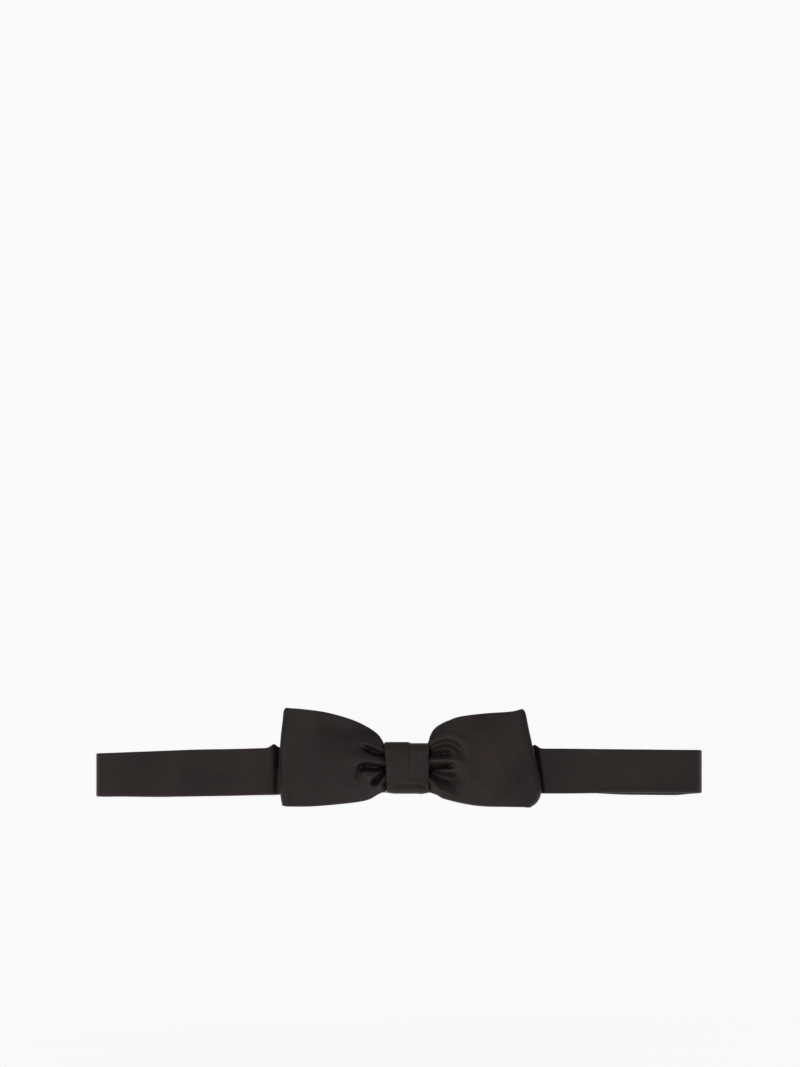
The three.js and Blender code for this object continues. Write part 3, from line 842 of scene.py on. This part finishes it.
class BOWTIE_OT_front_bow(bpy.types.Operator):
    """Makes the front bow: a covered strip folded into two wings and gathered into the knot"""

    bl_idname = "bow_tie.front_bow"
    bl_label = "Front Bow"

    def execute(self, context):
        for name, side, outline, pleats in (
            ("front_bow_left_wing", -1, LEFT_WING, LEFT_PLEATS),
            ("front_bow_right_wing", 1, RIGHT_WING, RIGHT_PLEATS),
        ):
            wing = Wing(side, outline, pleats, cloth_sizes())
            bm = bmesh.new()
            wing.add(bm)
            nodes = ("front_bow_silk", "front_bow_interlining")
            piece = riding(name, bm, "black_silk", "bow", *nodes)
            flat = (wing.WIDTH * MM, wing.length * MM)
        return {"FINISHED"}


class BOWTIE_OT_rear_bow(bpy.types.Operator):
    """Makes the rear bow: one flat covered strip behind the front bow"""

    bl_idname = "bow_tie.rear_bow"
    bl_label = "Rear Bow"

    WIDTH, HALF = 38.0, 51.0
    WAIST = 0.08
    WAVE = 0.1

    def execute(self, context):
        y = (REAR_LOW.y + REAR_HIGH.y) / 2

        def middle(distance, up):
            out = (distance - self.HALF) / self.HALF
            left = REAR_LEFT_WING(max(-out, 0), up)
            right = REAR_RIGHT_WING(max(out, 0), up)
            point = mix(left, right, between(-self.WAIST, self.WAIST, out))
            return Vector((point.x, y, point.y))

        def shift(distance, up, side, point):
            wave = noise.noise(Vector((point.x / 12, 3.1, point.z / 12)))
            return Vector((0, self.WAVE * wave, 0))

        thick = cloth_sizes()["bow_thick"]
        bm = bmesh.new()
        columns = stadium(44, thick / 2 / self.WIDTH)
        strip(bm, middle, spaced(2 * self.HALF, 1.0), self.WIDTH, thick, 1, columns, shift)
        nodes = ("rear_bow_silk", "rear_bow_interlining")
        piece = riding("rear_bow", bm, "black_silk", "bow", *nodes)
        flat = (self.WIDTH * MM, 2 * self.HALF * MM)
        return {"FINISHED"}


# ---- Knot ---------------------------------------------------------------------------------------

KNOT_WALL = 1.1
KNOT_CORNER = 2.6
KNOT_HALF_WIDTH, KNOT_HALF_HEIGHT = 9.4, 11


def ring_route(low, high, corner):
    """A closed route round the X axis, in Y and Z, between two corners."""
    deep, tall = high.y - low.y - 2 * corner, high.z - low.z - 2 * corner
    route = Route((high.y, low.z + corner), 90)
    for run in (tall, deep, tall, deep):
        route.run(run).turn(corner, 90)
    return route


def crease(x, z):
    """How far the wrap's front face stands out from an even ring."""
    crown = 0.5 * (1 - (x / KNOT_HALF_WIDTH) ** 2) * (1 - (z / KNOT_HALF_HEIGHT) ** 2)
    step = 0.22 * between(0.55, 1.15, x) * between(-8.5, -3.5, z)
    long_crease = 0.36 * math.exp(-(((x - 1.05) / 0.3) ** 2)) * between(-6.5, -2.5, z)
    short_crease = 0.32 * math.exp(-(((x - 4.95) / 0.35) ** 2)) * between(-7.5, -3.5, z)
    short_crease *= between(7, 2.5, z)
    level = -6.9 - 0.28 * max(x - 4.2, 0) ** 1.25
    sag = 0.34 * math.exp(-(((z - level) / 0.5) ** 2)) * between(-5.5, -1, x)
    lip = 0.42 * math.exp(-(((z - level + 2.3) / 0.8) ** 2)) * between(-8, -5, x)
    return crown - step - long_crease - short_crease - sag + lip


def knot_edges(z):
    """The wrap's left and right edges on the front, drawn in where the bow's waist is tightest."""
    left = 0.5 * between(6, -3, z) + 0.25 * between(-3, -9, z) - 0.35 * between(4, 10, z)
    return KNOT_LOW.x + left, KNOT_HIGH.x - 0.25 * (1 - abs(z) / KNOT_HALF_HEIGHT)


class BOWTIE_OT_knot(bpy.types.Operator):
    """Makes the knot: a padded wrap with soft creases, its closing stitches and the binding inside"""

    bl_idname = "bow_tie.knot"
    bl_label = "Knot"

    STITCHES, ROUNDS = 9, 6
    BINDING_CORNER = 1.2

    def execute(self, context):
        self.wrap()
        self.closing_stitches()
        self.binding()
        return {"FINISHED"}

    @staticmethod
    def wrap():
        half_wall = KNOT_WALL / 2
        inside = Vector((0, half_wall, half_wall))
        route = ring_route(KNOT_LOW + inside, KNOT_HIGH - inside, KNOT_CORNER - half_wall)
        lengths = spaced(route.length, 0.4)
        width = KNOT_HIGH.x - KNOT_LOW.x
        columns = stadium(56, half_wall / width)

        def place(i, j):
            across, side = columns[j]
            (y, z), way = route.at(lengths[i] % route.length)
            front = 1 - between(-9.5, -5, y)
            edges = (mix(a, b, front) for a, b in zip((KNOT_LOW.x, KNOT_HIGH.x), knot_edges(z)))
            x = mix(*edges, across)
            face = max(side, 0.0)
            rise = side * half_wall + face * front * crease(x, z)
            rise -= 0.5 * face * between(0.6, 1.6, x) * between(7, 9.6, z)
            rise += 0.4 * face * between(-7.5, -9.5, z)
            return Vector((x, y + way.y * rise, z - way.x * rise))

        bm = bmesh.new()
        covered(bm, lengths, columns, width, place, closed=True)
        piece = riding("knot", bm, "black_silk", "bow", "knot_wrap", "knot_interlining")

    def closing_stitches(self):
        low, high = cad("knot_back_stitches")
        middle = Vector((0, high.y + 0.05, (low.z + high.z) / 2))
        reach = Vector((0.35, 0, 0.55))
        bm = bmesh.new()
        for i in range(self.STITCHES):
            at = middle + X * mix(low.x + 0.5, high.x - 0.5, i / (self.STITCHES - 1))
            stitch(bm, at - reach, at + reach, 0.14)
        riding("knot_slip_stitches", bm, "black_thread", "bow", "knot_back_stitches")

    def binding(self):
        low, high = cad("binding_thread")
        radius = (high.x - low.x) / (2 * self.ROUNDS)
        inside = Vector((0, radius, radius))
        bm = bmesh.new()
        for i in range(self.ROUNDS):
            x = low.x + radius * (2 * i + 1)
            route = ring_route(low + inside, high - inside, self.BINDING_CORNER)
            rod(bm, route, (X * x, Y, Z), radius, sides=8, step=1.0, closed=True)
        riding("binding", bm, "black_thread", "bow", "binding_thread")


# ---- Neckband -----------------------------------------------------------------------------------

BAND_THICK = 1.2
CLEAR = 0.3
FRONT_Y = FRONT_LOW.y + BAND_THICK / 2
BACK_Y = LEFT_HIGH.y - BAND_THICK / 2
FOLD = (BACK_Y - FRONT_Y) / 2
ROUNDED_OUT = 1.3  # how far soft folds reach past the frame's
LEFT_FOLD_X = FRONT_LOW.x + BAND_THICK / 2 + FOLD - ROUNDED_OUT
RIGHT_FOLD_X = FRONT_HIGH.x - BAND_THICK / 2 - FOLD + ROUNDED_OUT
LEVEL = (LOOP_HIGH.z + LOOP_LOW.z) / 2
BAND_HALF = (LOOP_HIGH.z - LOOP_LOW.z) / 2
BAND_START = 7.5  # inside the knot
BLEND_START = FRONT_Y + 2.1  # behind the cloth that the tacks draw in
HOOK_FLAP = 1.9
BAR_TURN = BACK_Y - HOOK_BAR.y
EYE_FLAP = 12
EYE_SLOPE, EYE_STEADY = 12.0, 4  # the run that steps in to the eye, and the straight one after it
SLIDER_X = (SLIDER_LOW.x + SLIDER_HIGH.x) / 2


class Band:
    """One side of the neckband, from inside the knot round the fold to its end.

    tack is where its top edge puckers, where the cloth is drawn in, and how far that line leans.
    """

    DRAWN_IN, PUSHED_OUT = 1.5, 0.4
    WAVE, EDGE_WAVE = 0.12, 0.16
    SEAM_WIDTH = 0.22
    PITCH = 5.0

    def __init__(self, side, route, level, half, tack, sizes):
        self.side, self.route, self.level, self.half = side, route, level, half
        self.pucker_x, self.tuck_x, self.lean = tack
        self.pucker, self.seam = sizes["pucker"], sizes["seam_depth"]

    def middle(self, distance, up):
        place, _ = self.route.at(distance)
        z = self.level(distance) + (2 * up - 1) * self.half(distance)
        away = abs(place.x) - self.pucker_x
        peak = math.exp(-((away / (1.7 if away > 0 else 1.4)) ** 2))
        return Vector((place.x, place.y, z + self.front(place.y) * self.pucker * peak * up**2))

    @staticmethod
    def front(y):
        return 1 - between(FRONT_Y + 1, FRONT_Y + 3, y)

    def shift(self, distance, up, side, point):
        """Draws the cloth in beside a tack, waves it a little and sinks the seam along its inside."""
        away = abs(point.x) - self.tuck_x + self.lean * point.z
        tuck = math.exp(-((away / 1.1) ** 2)) * (0.6 + 0.4 * up**3)
        lift = math.exp(-(((away - 3) / 1.8) ** 2)) * up**2
        drawn = self.front(point.y) * (self.DRAWN_IN * tuck - self.PUSHED_OUT * lift)
        wave = self.WAVE * noise.noise(Vector((distance / 17, up * 1.3, self.side * 5.0)))
        edge = self.EDGE_WAVE * noise.noise(Vector((distance / 23, self.side * 9.0, 2.0)))
        moved = Vector((0, drawn + wave, edge))
        if side < -0.99:
            near = (up - 0.5) * 2 * BAND_HALF / self.SEAM_WIDTH
            moved -= self.inwards(distance) * self.seam * math.exp(-near * near)
        return moved

    def inwards(self, distance):
        """Towards the strip's inner face."""
        _, way = self.route.at(distance)
        return Vector((way.y, -way.x, 0)) * -self.side

    def seam_stitches(self, bm):
        """Slip stitches that close the seam along the strip's inner face."""
        for i in range(int((self.route.length - BAND_START) / self.PITCH)):
            distance = BAND_START + self.PITCH * i
            ends = []
            for along, up in ((-0.5, 0.488), (0.5, 0.512)):
                point = self.middle(distance + along, up)
                point += self.inwards(distance + along) * (BAND_THICK / 2 - 0.06)
                ends.append(point + self.shift(distance + along, up, 0, point))
            stitch(bm, *ends, 0.12)


def left_route():
    """From inside the knot round the left fold and back to the turn round the hook's bar."""
    route = Route((-BAND_START, FRONT_Y), 180)
    route.run(-BAND_START - LEFT_FOLD_X).turn(FOLD, -180)
    return route.run(HOOK_BAR.x - LEFT_FOLD_X).turn(BAR_TURN, -180).run(HOOK_FLAP)


def right_route():
    """From inside the knot round the right fold, in to the eye and round its far bar."""
    step = BACK_Y - EYE_BAR.y - BAR_TURN
    radius = (EYE_SLOPE * EYE_SLOPE + step * step) / (4 * step)
    angle = math.degrees(math.asin(EYE_SLOPE / (2 * radius)))
    slope_from = EYE_BAR.x + EYE_FLAP + EYE_STEADY + EYE_SLOPE
    route = Route((BAND_START, FRONT_Y), 0)
    route.run(RIGHT_FOLD_X - BAND_START).turn(FOLD, 180).run(RIGHT_FOLD_X - slope_from)
    route.turn(radius, angle).turn(radius, -angle)
    return route.run(route.point.x - EYE_BAR.x).turn(BAR_TURN, 180).run(EYE_FLAP)


class BOWTIE_OT_neckband(bpy.types.Operator):
    """Makes the neckband's two sides, each a covered strip with a stitched seam along its inside"""

    bl_idname = "bow_tie.neckband"
    bl_label = "Neckband"

    def execute(self, context):
        sizes = cloth_sizes()
        left_fold = -BAND_START - LEFT_FOLD_X
        left_back = left_fold + FOLD * math.pi
        level = Profile(
            (3, -0.2), (46, -1.9), (80, -2.75), (left_fold, -3.45), (left_back, -3.85),
            (left_back + 22, -4.1), (left_back + 41, -3.5), (left_back + 68, -3.35),
            (left_back + 84, LEVEL),
        )
        half = Profile(
            (2, 7.2), (14, 9.4), (46, 9.8), (78, 9.8), (left_fold, 9.15), (left_back, 9.0)
        )
        band = Band(-1, left_route(), level, half, (55.4, 53.6, 0.03), sizes)
        self.side("left", band, 3.0)
        right_fold = RIGHT_FOLD_X - BAND_START
        right_back = right_fold + FOLD * math.pi
        level = Profile(
            (3, -0.2), (40, -1.8), (54, -1.9), (86, -1.9), (right_fold, -2.0), (right_back, -2.8),
            (right_back + 6, -3.3), (right_back + 24, -3.2), (right_back + 48, LEVEL),
        )
        half = Profile(
            (2, 7.2), (14, 9.2), (54, 9.4), (84, 9.1), (right_fold, 9.0), (right_back, 9.0)
        )
        band = Band(1, right_route(), level, half, (53.2, 54.0, 0.15), sizes)
        self.side("right", band, 1.45)
        return {"FINISHED"}

    @staticmethod
    def side(hand, band, blend_end):
        bm = bmesh.new()
        width = 2 * BAND_HALF
        columns = stadium(26, BAND_THICK / 2 / width, seam=0.012)
        lengths = spaced(band.route.length, 0.9)
        strip(bm, band.middle, lengths, width, BAND_THICK, band.side, columns, band.shift)
        piece = finished(f"neckband_{hand}", bm, "black_silk")
        threads = bmesh.new()
        band.seam_stitches(threads)
        seam = finished(f"neckband_{hand}_seam", threads, "black_thread")
        for each, slot in ((piece, "black_silk"), (seam, "black_thread")):
            start, end = (0, BLEND_START * MM, 0), (0, blend_end * MM, 0)
            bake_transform(each)
            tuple(start)
            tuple(end)
        layers = ("silk", "interlining")
        nodes = [f"neckband_{part}_{layer}" for part in (hand, "front") for layer in layers]
        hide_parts(*nodes)


class BOWTIE_OT_adjuster_strap(bpy.types.Operator):
    """Makes the strap's returning end, which runs back to the slider and is sewn round its bar"""

    bl_idname = "bow_tie.adjuster_strap"
    bl_label = "Adjuster Strap"

    HIDDEN = 1.4  # of the strap's start, inside the turned end it comes out of
    THINNER, NARROWER, WAVE = 0.1, 0.3, 0.1

    def execute(self, context):
        tail_low, tail_high = cad("adjuster_tail")
        thick = BAND_THICK - self.THINNER
        turn = (LOOP_HIGH.y - LOOP_LOW.y) / 2 - BAND_THICK / 2
        start = Vector((tail_high.x + self.HIDDEN, tail_low.y + BAND_THICK / 2))
        level_from = Vector((tail_low.x, tail_high.y - BAND_THICK / 2))
        along = level_from - start
        route = Route(start, math.degrees(math.atan2(along.y, along.x))).run(along.length)
        route.face(180).run(level_from.x - SLIDER_X).turn(turn, 180).run(LOOP_HIGH.x - SLIDER_X)
        width = 2 * BAND_HALF - self.NARROWER

        def middle(distance, up):
            place, _ = route.at(distance)
            return Vector((place.x, place.y, LEVEL + (up - 0.5) * width))

        def shift(distance, up, side, point):
            wave = noise.noise(Vector((distance / 11, up * 1.4, 31.0)))
            return Vector((0, self.WAVE * wave, 0))

        bm = bmesh.new()
        columns = stadium(26, thick / 2 / width)
        strip(bm, middle, spaced(route.length, 0.7), width, thick, 1, columns, shift)
        piece = finished("adjuster_strap", bm, "black_silk")
        start, end = (tail_high.x * MM, 0, 0), (tail_low.x * MM, 0, 0)
        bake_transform(piece)
        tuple(start)
        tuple(end)
        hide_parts("adjuster_tail", "slider_end_loop")
        return {"FINISHED"}


# ---- Hardware -----------------------------------------------------------------------------------

WIRE = 0.7


class BOWTIE_OT_hook(bpy.types.Operator):
    """Makes the hook: a wire frame, a cross plate and a flat tongue bent back on itself"""

    bl_idname = "bow_tie.hook"
    bl_label = "Hook"

    FRAME, PLATE, METAL = 4.6, 2.6, 0.9
    TONGUE, TIP = 8.0, 1.4

    def execute(self, context):
        low, high = cad("hook")
        level, half = (low.z + high.z) / 2, (high.z - low.z) / 2 - WIRE
        bar, corner = HOOK_BAR, 1.1
        bm = bmesh.new()
        frame_route = Route((bar.x + self.FRAME, half), 180)
        frame_route.run(self.FRAME - corner).turn(corner, 90).run(2 * (half - corner))
        frame_route.turn(corner, 90).run(self.FRAME - corner)
        rod(bm, frame_route, (Vector((0, bar.y, level)), X, Z), WIRE)
        plate_size = (self.PLATE, self.METAL, 2 * (half + WIRE))
        plate(bm, plate_size, (bar.x + self.FRAME, bar.y, level), 0.28)
        self.tongue(bm, high.x, level)
        riding("hook_metal", bm, "nickel", "hook", "hook")
        return {"FINISHED"}

    def tongue(self, bm, end_x, level):
        """The tongue narrows to a round tip, which turns up a little to catch the eye."""
        bar, bend = HOOK_BAR, end_x - self.METAL / 2 - BAR_TURN
        route = Route((bar.x + self.FRAME, bar.y), 0)
        route.run(bend - bar.x - self.FRAME).turn(BAR_TURN, -180).run(self.TIP)
        tip = Profile((0, 0.5), (route.length - 3.5, 0.46), (route.length, 0.26))

        def middle(distance, up):
            place, _ = route.at(distance)
            return Vector((place.x, place.y, level + (2 * up - 1) * self.TONGUE * tip(distance)))

        columns = stadium(16, self.METAL / 2 / self.TONGUE)
        strip(bm, middle, spaced(route.length, 0.35), self.TONGUE, self.METAL, 1, columns)


class BOWTIE_OT_eye(bpy.types.Operator):
    """Makes the eye: a closed loop of wire with rounded corners"""

    bl_idname = "bow_tie.eye"
    bl_label = "Eye"

    def execute(self, context):
        low, high = cad("eye")
        inside = Vector((WIRE, WIRE, WIRE))
        low, high, corner = low + inside, high - inside, 1.3
        route = Route((low.x, low.z + corner), 90)
        for run in (high.z - low.z, high.x - low.x) * 2:
            route.run(run - 2 * corner).turn(corner, -90)
        bm = bmesh.new()
        rod(bm, route, (Y * EYE_BAR.y, X, Z), WIRE, closed=True)
        riding("eye_wire", bm, "nickel", "eye", "eye")
        return {"FINISHED"}


class BOWTIE_OT_slider(bpy.types.Operator):
    """Makes the slider: two side plates, two flat bars outside the strap and a round one inside it"""

    bl_idname = "bow_tie.slider"
    bl_label = "Slider"

    BAR, RAIL, ROOM = 1.0, 1.1, 0.9

    def execute(self, context):
        low, high = SLIDER_LOW - self.ROOM * Z, SLIDER_HIGH
        middle, size = (low + high) / 2, high - low
        bm = bmesh.new()
        for side in (-1, 1):
            at = (middle.x, middle.y, middle.z + side * (size.z - self.RAIL) / 2)
            plate(bm, (size.x, size.y, self.RAIL), at, 0.42)
            at = (middle.x + side * (size.x - self.BAR) / 2, high.y - self.BAR / 2, middle.z)
            plate(bm, (self.BAR, self.BAR, size.z - self.RAIL), at, 0.3)
        bar = Route((low.z + self.RAIL / 2, 0), 0).run(size.z - self.RAIL)
        origin = Vector((middle.x, low.y + self.BAR / 2, 0))
        rod(bm, bar, (origin, Z, X), self.BAR / 2, step=2.0)
        riding("slider_frame", bm, "nickel", "adjuster", "slider")
        return {"FINISHED"}


# ---- Thread and label ---------------------------------------------------------------------------


class BOWTIE_OT_bartacks(bpy.types.Operator):
    """Makes the bartacks that hold each turned end: rows of close zigzag stitches"""

    bl_idname = "bow_tie.bartacks"
    bl_label = "Bartacks"

    PITCH = 0.42
    SUNK = 0.02

    def execute(self, context):
        for node, body in (("slider_bartack", "adjuster"), ("eye_bartack", "right_strap")):
            low, high = cad(node)
            y = high.y + CLEAR - self.SUNK
            bm = bmesh.new()
            for i in range(int((high.z - low.z) / self.PITCH)):
                z, lean = low.z + self.PITCH * i, self.PITCH * (1 if i % 2 else -1) / 2
                stitch(bm, (low.x, y, z - lean), (high.x, y, z + lean), 0.17)
            riding(f"{node}_thread", bm, "black_thread", body, node)
        return {"FINISHED"}


class BOWTIE_OT_wing_tacks(bpy.types.Operator):
    """Makes the two tacks that hold the neckband to the wings: crossed stitches and a short shank"""

    bl_idname = "bow_tie.wing_tacks"
    bl_label = "Wing Tacks"

    CROSSINGS, DEPTH = 8, 0.1

    def execute(self, context):
        for node in ("left_wing_tack", "right_wing_tack"):
            low, high = cad(node)
            centre = (low + high) / 2
            front, back = REAR_HIGH.y - self.DEPTH, FRONT_LOW.y + self.DEPTH
            reach = (high.x - low.x) / 2
            bm = bmesh.new()
            for k in range(self.CROSSINGS):
                angle = 2 * math.pi * k / self.CROSSINGS
                out = Vector((math.cos(angle), 0, math.sin(angle))) * reach
                start = Vector((centre.x, front, centre.z)) + out
                end = Vector((centre.x, back, centre.z)) - out * 0.7
                stitch(bm, start, end, 0.16)
            riding(f"{node}_thread", bm, "black_thread", "bow", node)
        return {"FINISHED"}


class BOWTIE_OT_label(bpy.types.Operator):
    """Makes the blank label, with its ends turned under, and the stitches along both ends"""

    bl_idname = "bow_tie.label"
    bl_label = "Label"

    PITCH, STITCH = 0.95, 0.62  # STITCH is a share of the pitch
    TURNED_UNDER, STEP, PUFF = 2.4, 0.12, 0.1

    def execute(self, context):
        low, high = cad("label")
        length, height, thick = high.x - low.x, high.z - low.z, high.y - low.y
        y = (low.y + high.y) / 2

        def middle(distance, up):
            return Vector((low.x + distance, y, mix(low.z, high.z, up)))

        def shift(distance, up, side, point):
            ends = min(distance, length - distance)
            under = 1 - between(self.TURNED_UNDER, self.TURNED_UNDER + 0.3, ends)
            folded = self.STEP * under * max(-side, 0)
            puff = self.PUFF * noise.noise(Vector((distance / 6, up * 2, 44.0)))
            puff *= between(1, 5, ends)
            return Vector((0, puff - folded, 0))

        bm = bmesh.new()
        columns = stadium(20, thick / 2 / height)
        strip(bm, middle, spaced(length, 0.4), height, thick, -1, columns, shift)
        piece = riding("label_cloth", bm, "label_satin", "left_strap", "label")
        for side in ("left", "right"):
            self.stitches(side, low)
        return {"FINISHED"}

    def stitches(self, side, label_low):
        node = f"label_stitches_{side}"
        low, high = cad(node)
        bm = bmesh.new()
        x, y = (low.x + high.x) / 2, label_low.y - 0.16
        for i in range(int((high.z - low.z) / self.PITCH)):
            z = low.z + 0.4 + self.PITCH * i
            stitch(bm, (x, y, z), (x, y, z + self.PITCH * self.STITCH), 0.14)
        riding(f"{node}_thread", bm, "black_thread", "left_strap", node)


# ---- Stage --------------------------------------------------------------------------------------


class BOWTIE_OT_stage(bpy.types.Operator):
    """Makes the floor, the lights, the surround and the camera"""

    bl_idname = "bow_tie.stage"
    bl_label = "Stage"

    OVERHEAD, FRONT = Vector((0.1, -0.25, 1)), Vector((-0.5, -1, 0.35))

    def execute(self, context):
        stage = context.scene.bow_tie_stage
        self.floor(stage)
        self.surround(context.scene, stage)
        self.light(context.scene, "overhead", self.OVERHEAD, 80, stage.overhead)
        self.light(context.scene, "front", self.FRONT, 50, stage.front)
        self.camera(context.scene, stage)
        context.scene.view_settings.view_transform = "Standard"
        return {"FINISHED"}

    @staticmethod
    def floor(stage):
        bm = bmesh.new()
        bmesh.ops.create_circle(bm, cap_ends=True, segments=96, radius=stage.floor_radius)
        bmesh.ops.translate(bm, verts=bm.verts, vec=(0, 0, -stage.floor_drop))
        finished("floor", bm, "floor_paint")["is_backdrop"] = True

    @staticmethod
    def surround(scene, stage):
        world = bpy.data.worlds.new("surround")
        world.use_nodes = True
        nodes = Nodes(world.node_tree)
        white = (1, 1, 1, 1)
        lit = nodes.add("ShaderNodeBackground", {}, {"Color": white, "Strength": stage.surround})
        seen = nodes.add("ShaderNodeBackground", {}, {"Color": white, "Strength": stage.backdrop})
        path = nodes.add("ShaderNodeLightPath", {}, {})
        parts = {0: path.outputs["Is Camera Ray"], 1: lit.outputs[0], 2: seen.outputs[0]}
        either = nodes.add("ShaderNodeMixShader", {}, parts)
        nodes.add("ShaderNodeOutputWorld", {}, {"Surface": either.outputs[0]})
        scene.world = world

    @staticmethod
    def light(scene, name, towards, softness, strength):
        lamp = bpy.data.lights.new(name, "SUN")
        lamp.angle, lamp.energy = math.radians(softness), strength
        holder = bpy.data.objects.new(name, lamp)
        holder.rotation_euler = towards.to_track_quat("Z", "Y").to_euler()
        scene.collection.objects.link(holder)

    @staticmethod
    def camera(scene, stage):
        data = bpy.data.cameras.new("camera")
        data.sensor_width = 36.0
        data.lens = data.sensor_width * stage.camera_distance / stage.view_height
        data.clip_end = 50.0
        holder = bpy.data.objects.new("camera", data)
        away = KNOT_LOW.y * MM - stage.camera_distance
        holder.location = (stage.camera_side, away, stage.camera_rise)
        holder.rotation_euler = (math.pi / 2, 0, 0)
        scene.collection.objects.link(holder)
        scene.camera = holder


# ---- Add-on -------------------------------------------------------------------------------------


class BOWTIE_PT_panel(bpy.types.Panel):
    """Lists the bow tie's operators"""

    bl_idname = "BOWTIE_PT_panel"
    bl_label = "Bow Tie"
    bl_space_type = "VIEW_3D"
    bl_region_type = "UI"
    bl_category = "Bow Tie"

    def draw(self, context):
        for operator in OPERATORS:
            self.layout.operator(operator.bl_idname)


OPERATORS = (
    BOWTIE_OT_stage,
    BOWTIE_OT_front_bow,
    BOWTIE_OT_rear_bow,
    BOWTIE_OT_knot,
    BOWTIE_OT_neckband,
    BOWTIE_OT_adjuster_strap,
    BOWTIE_OT_hook,
    BOWTIE_OT_eye,
    BOWTIE_OT_slider,
    BOWTIE_OT_bartacks,
    BOWTIE_OT_wing_tacks,
    BOWTIE_OT_label,
)
GROUPS = {
    "bow_tie_cloth": BowTieCloth,
    "bow_tie_colours": BowTieColours,
    "bow_tie_stage": BowTieStage,
}


def register():
    for each in (*GROUPS.values(), *OPERATORS, BOWTIE_PT_panel):
        bpy.utils.register_class(each)
    for name, group in GROUPS.items():
        setattr(bpy.types.Scene, name, PointerProperty(type=group))


def unregister():
    for name in GROUPS:
        delattr(bpy.types.Scene, name)
    for each in reversed((*GROUPS.values(), *OPERATORS, BOWTIE_PT_panel)):
        bpy.utils.unregister_class(each)


def main():
    register()
    for operator in OPERATORS:
        family, name = operator.bl_idname.split(".")
        getattr(getattr(bpy.ops, family), name)()
    boxes = {"cad": CAD_BOX, "visual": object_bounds()}
    {name: [list(corner) for corner in box] for name, box in boxes.items()}


if __name__ == "__main__":
    main()
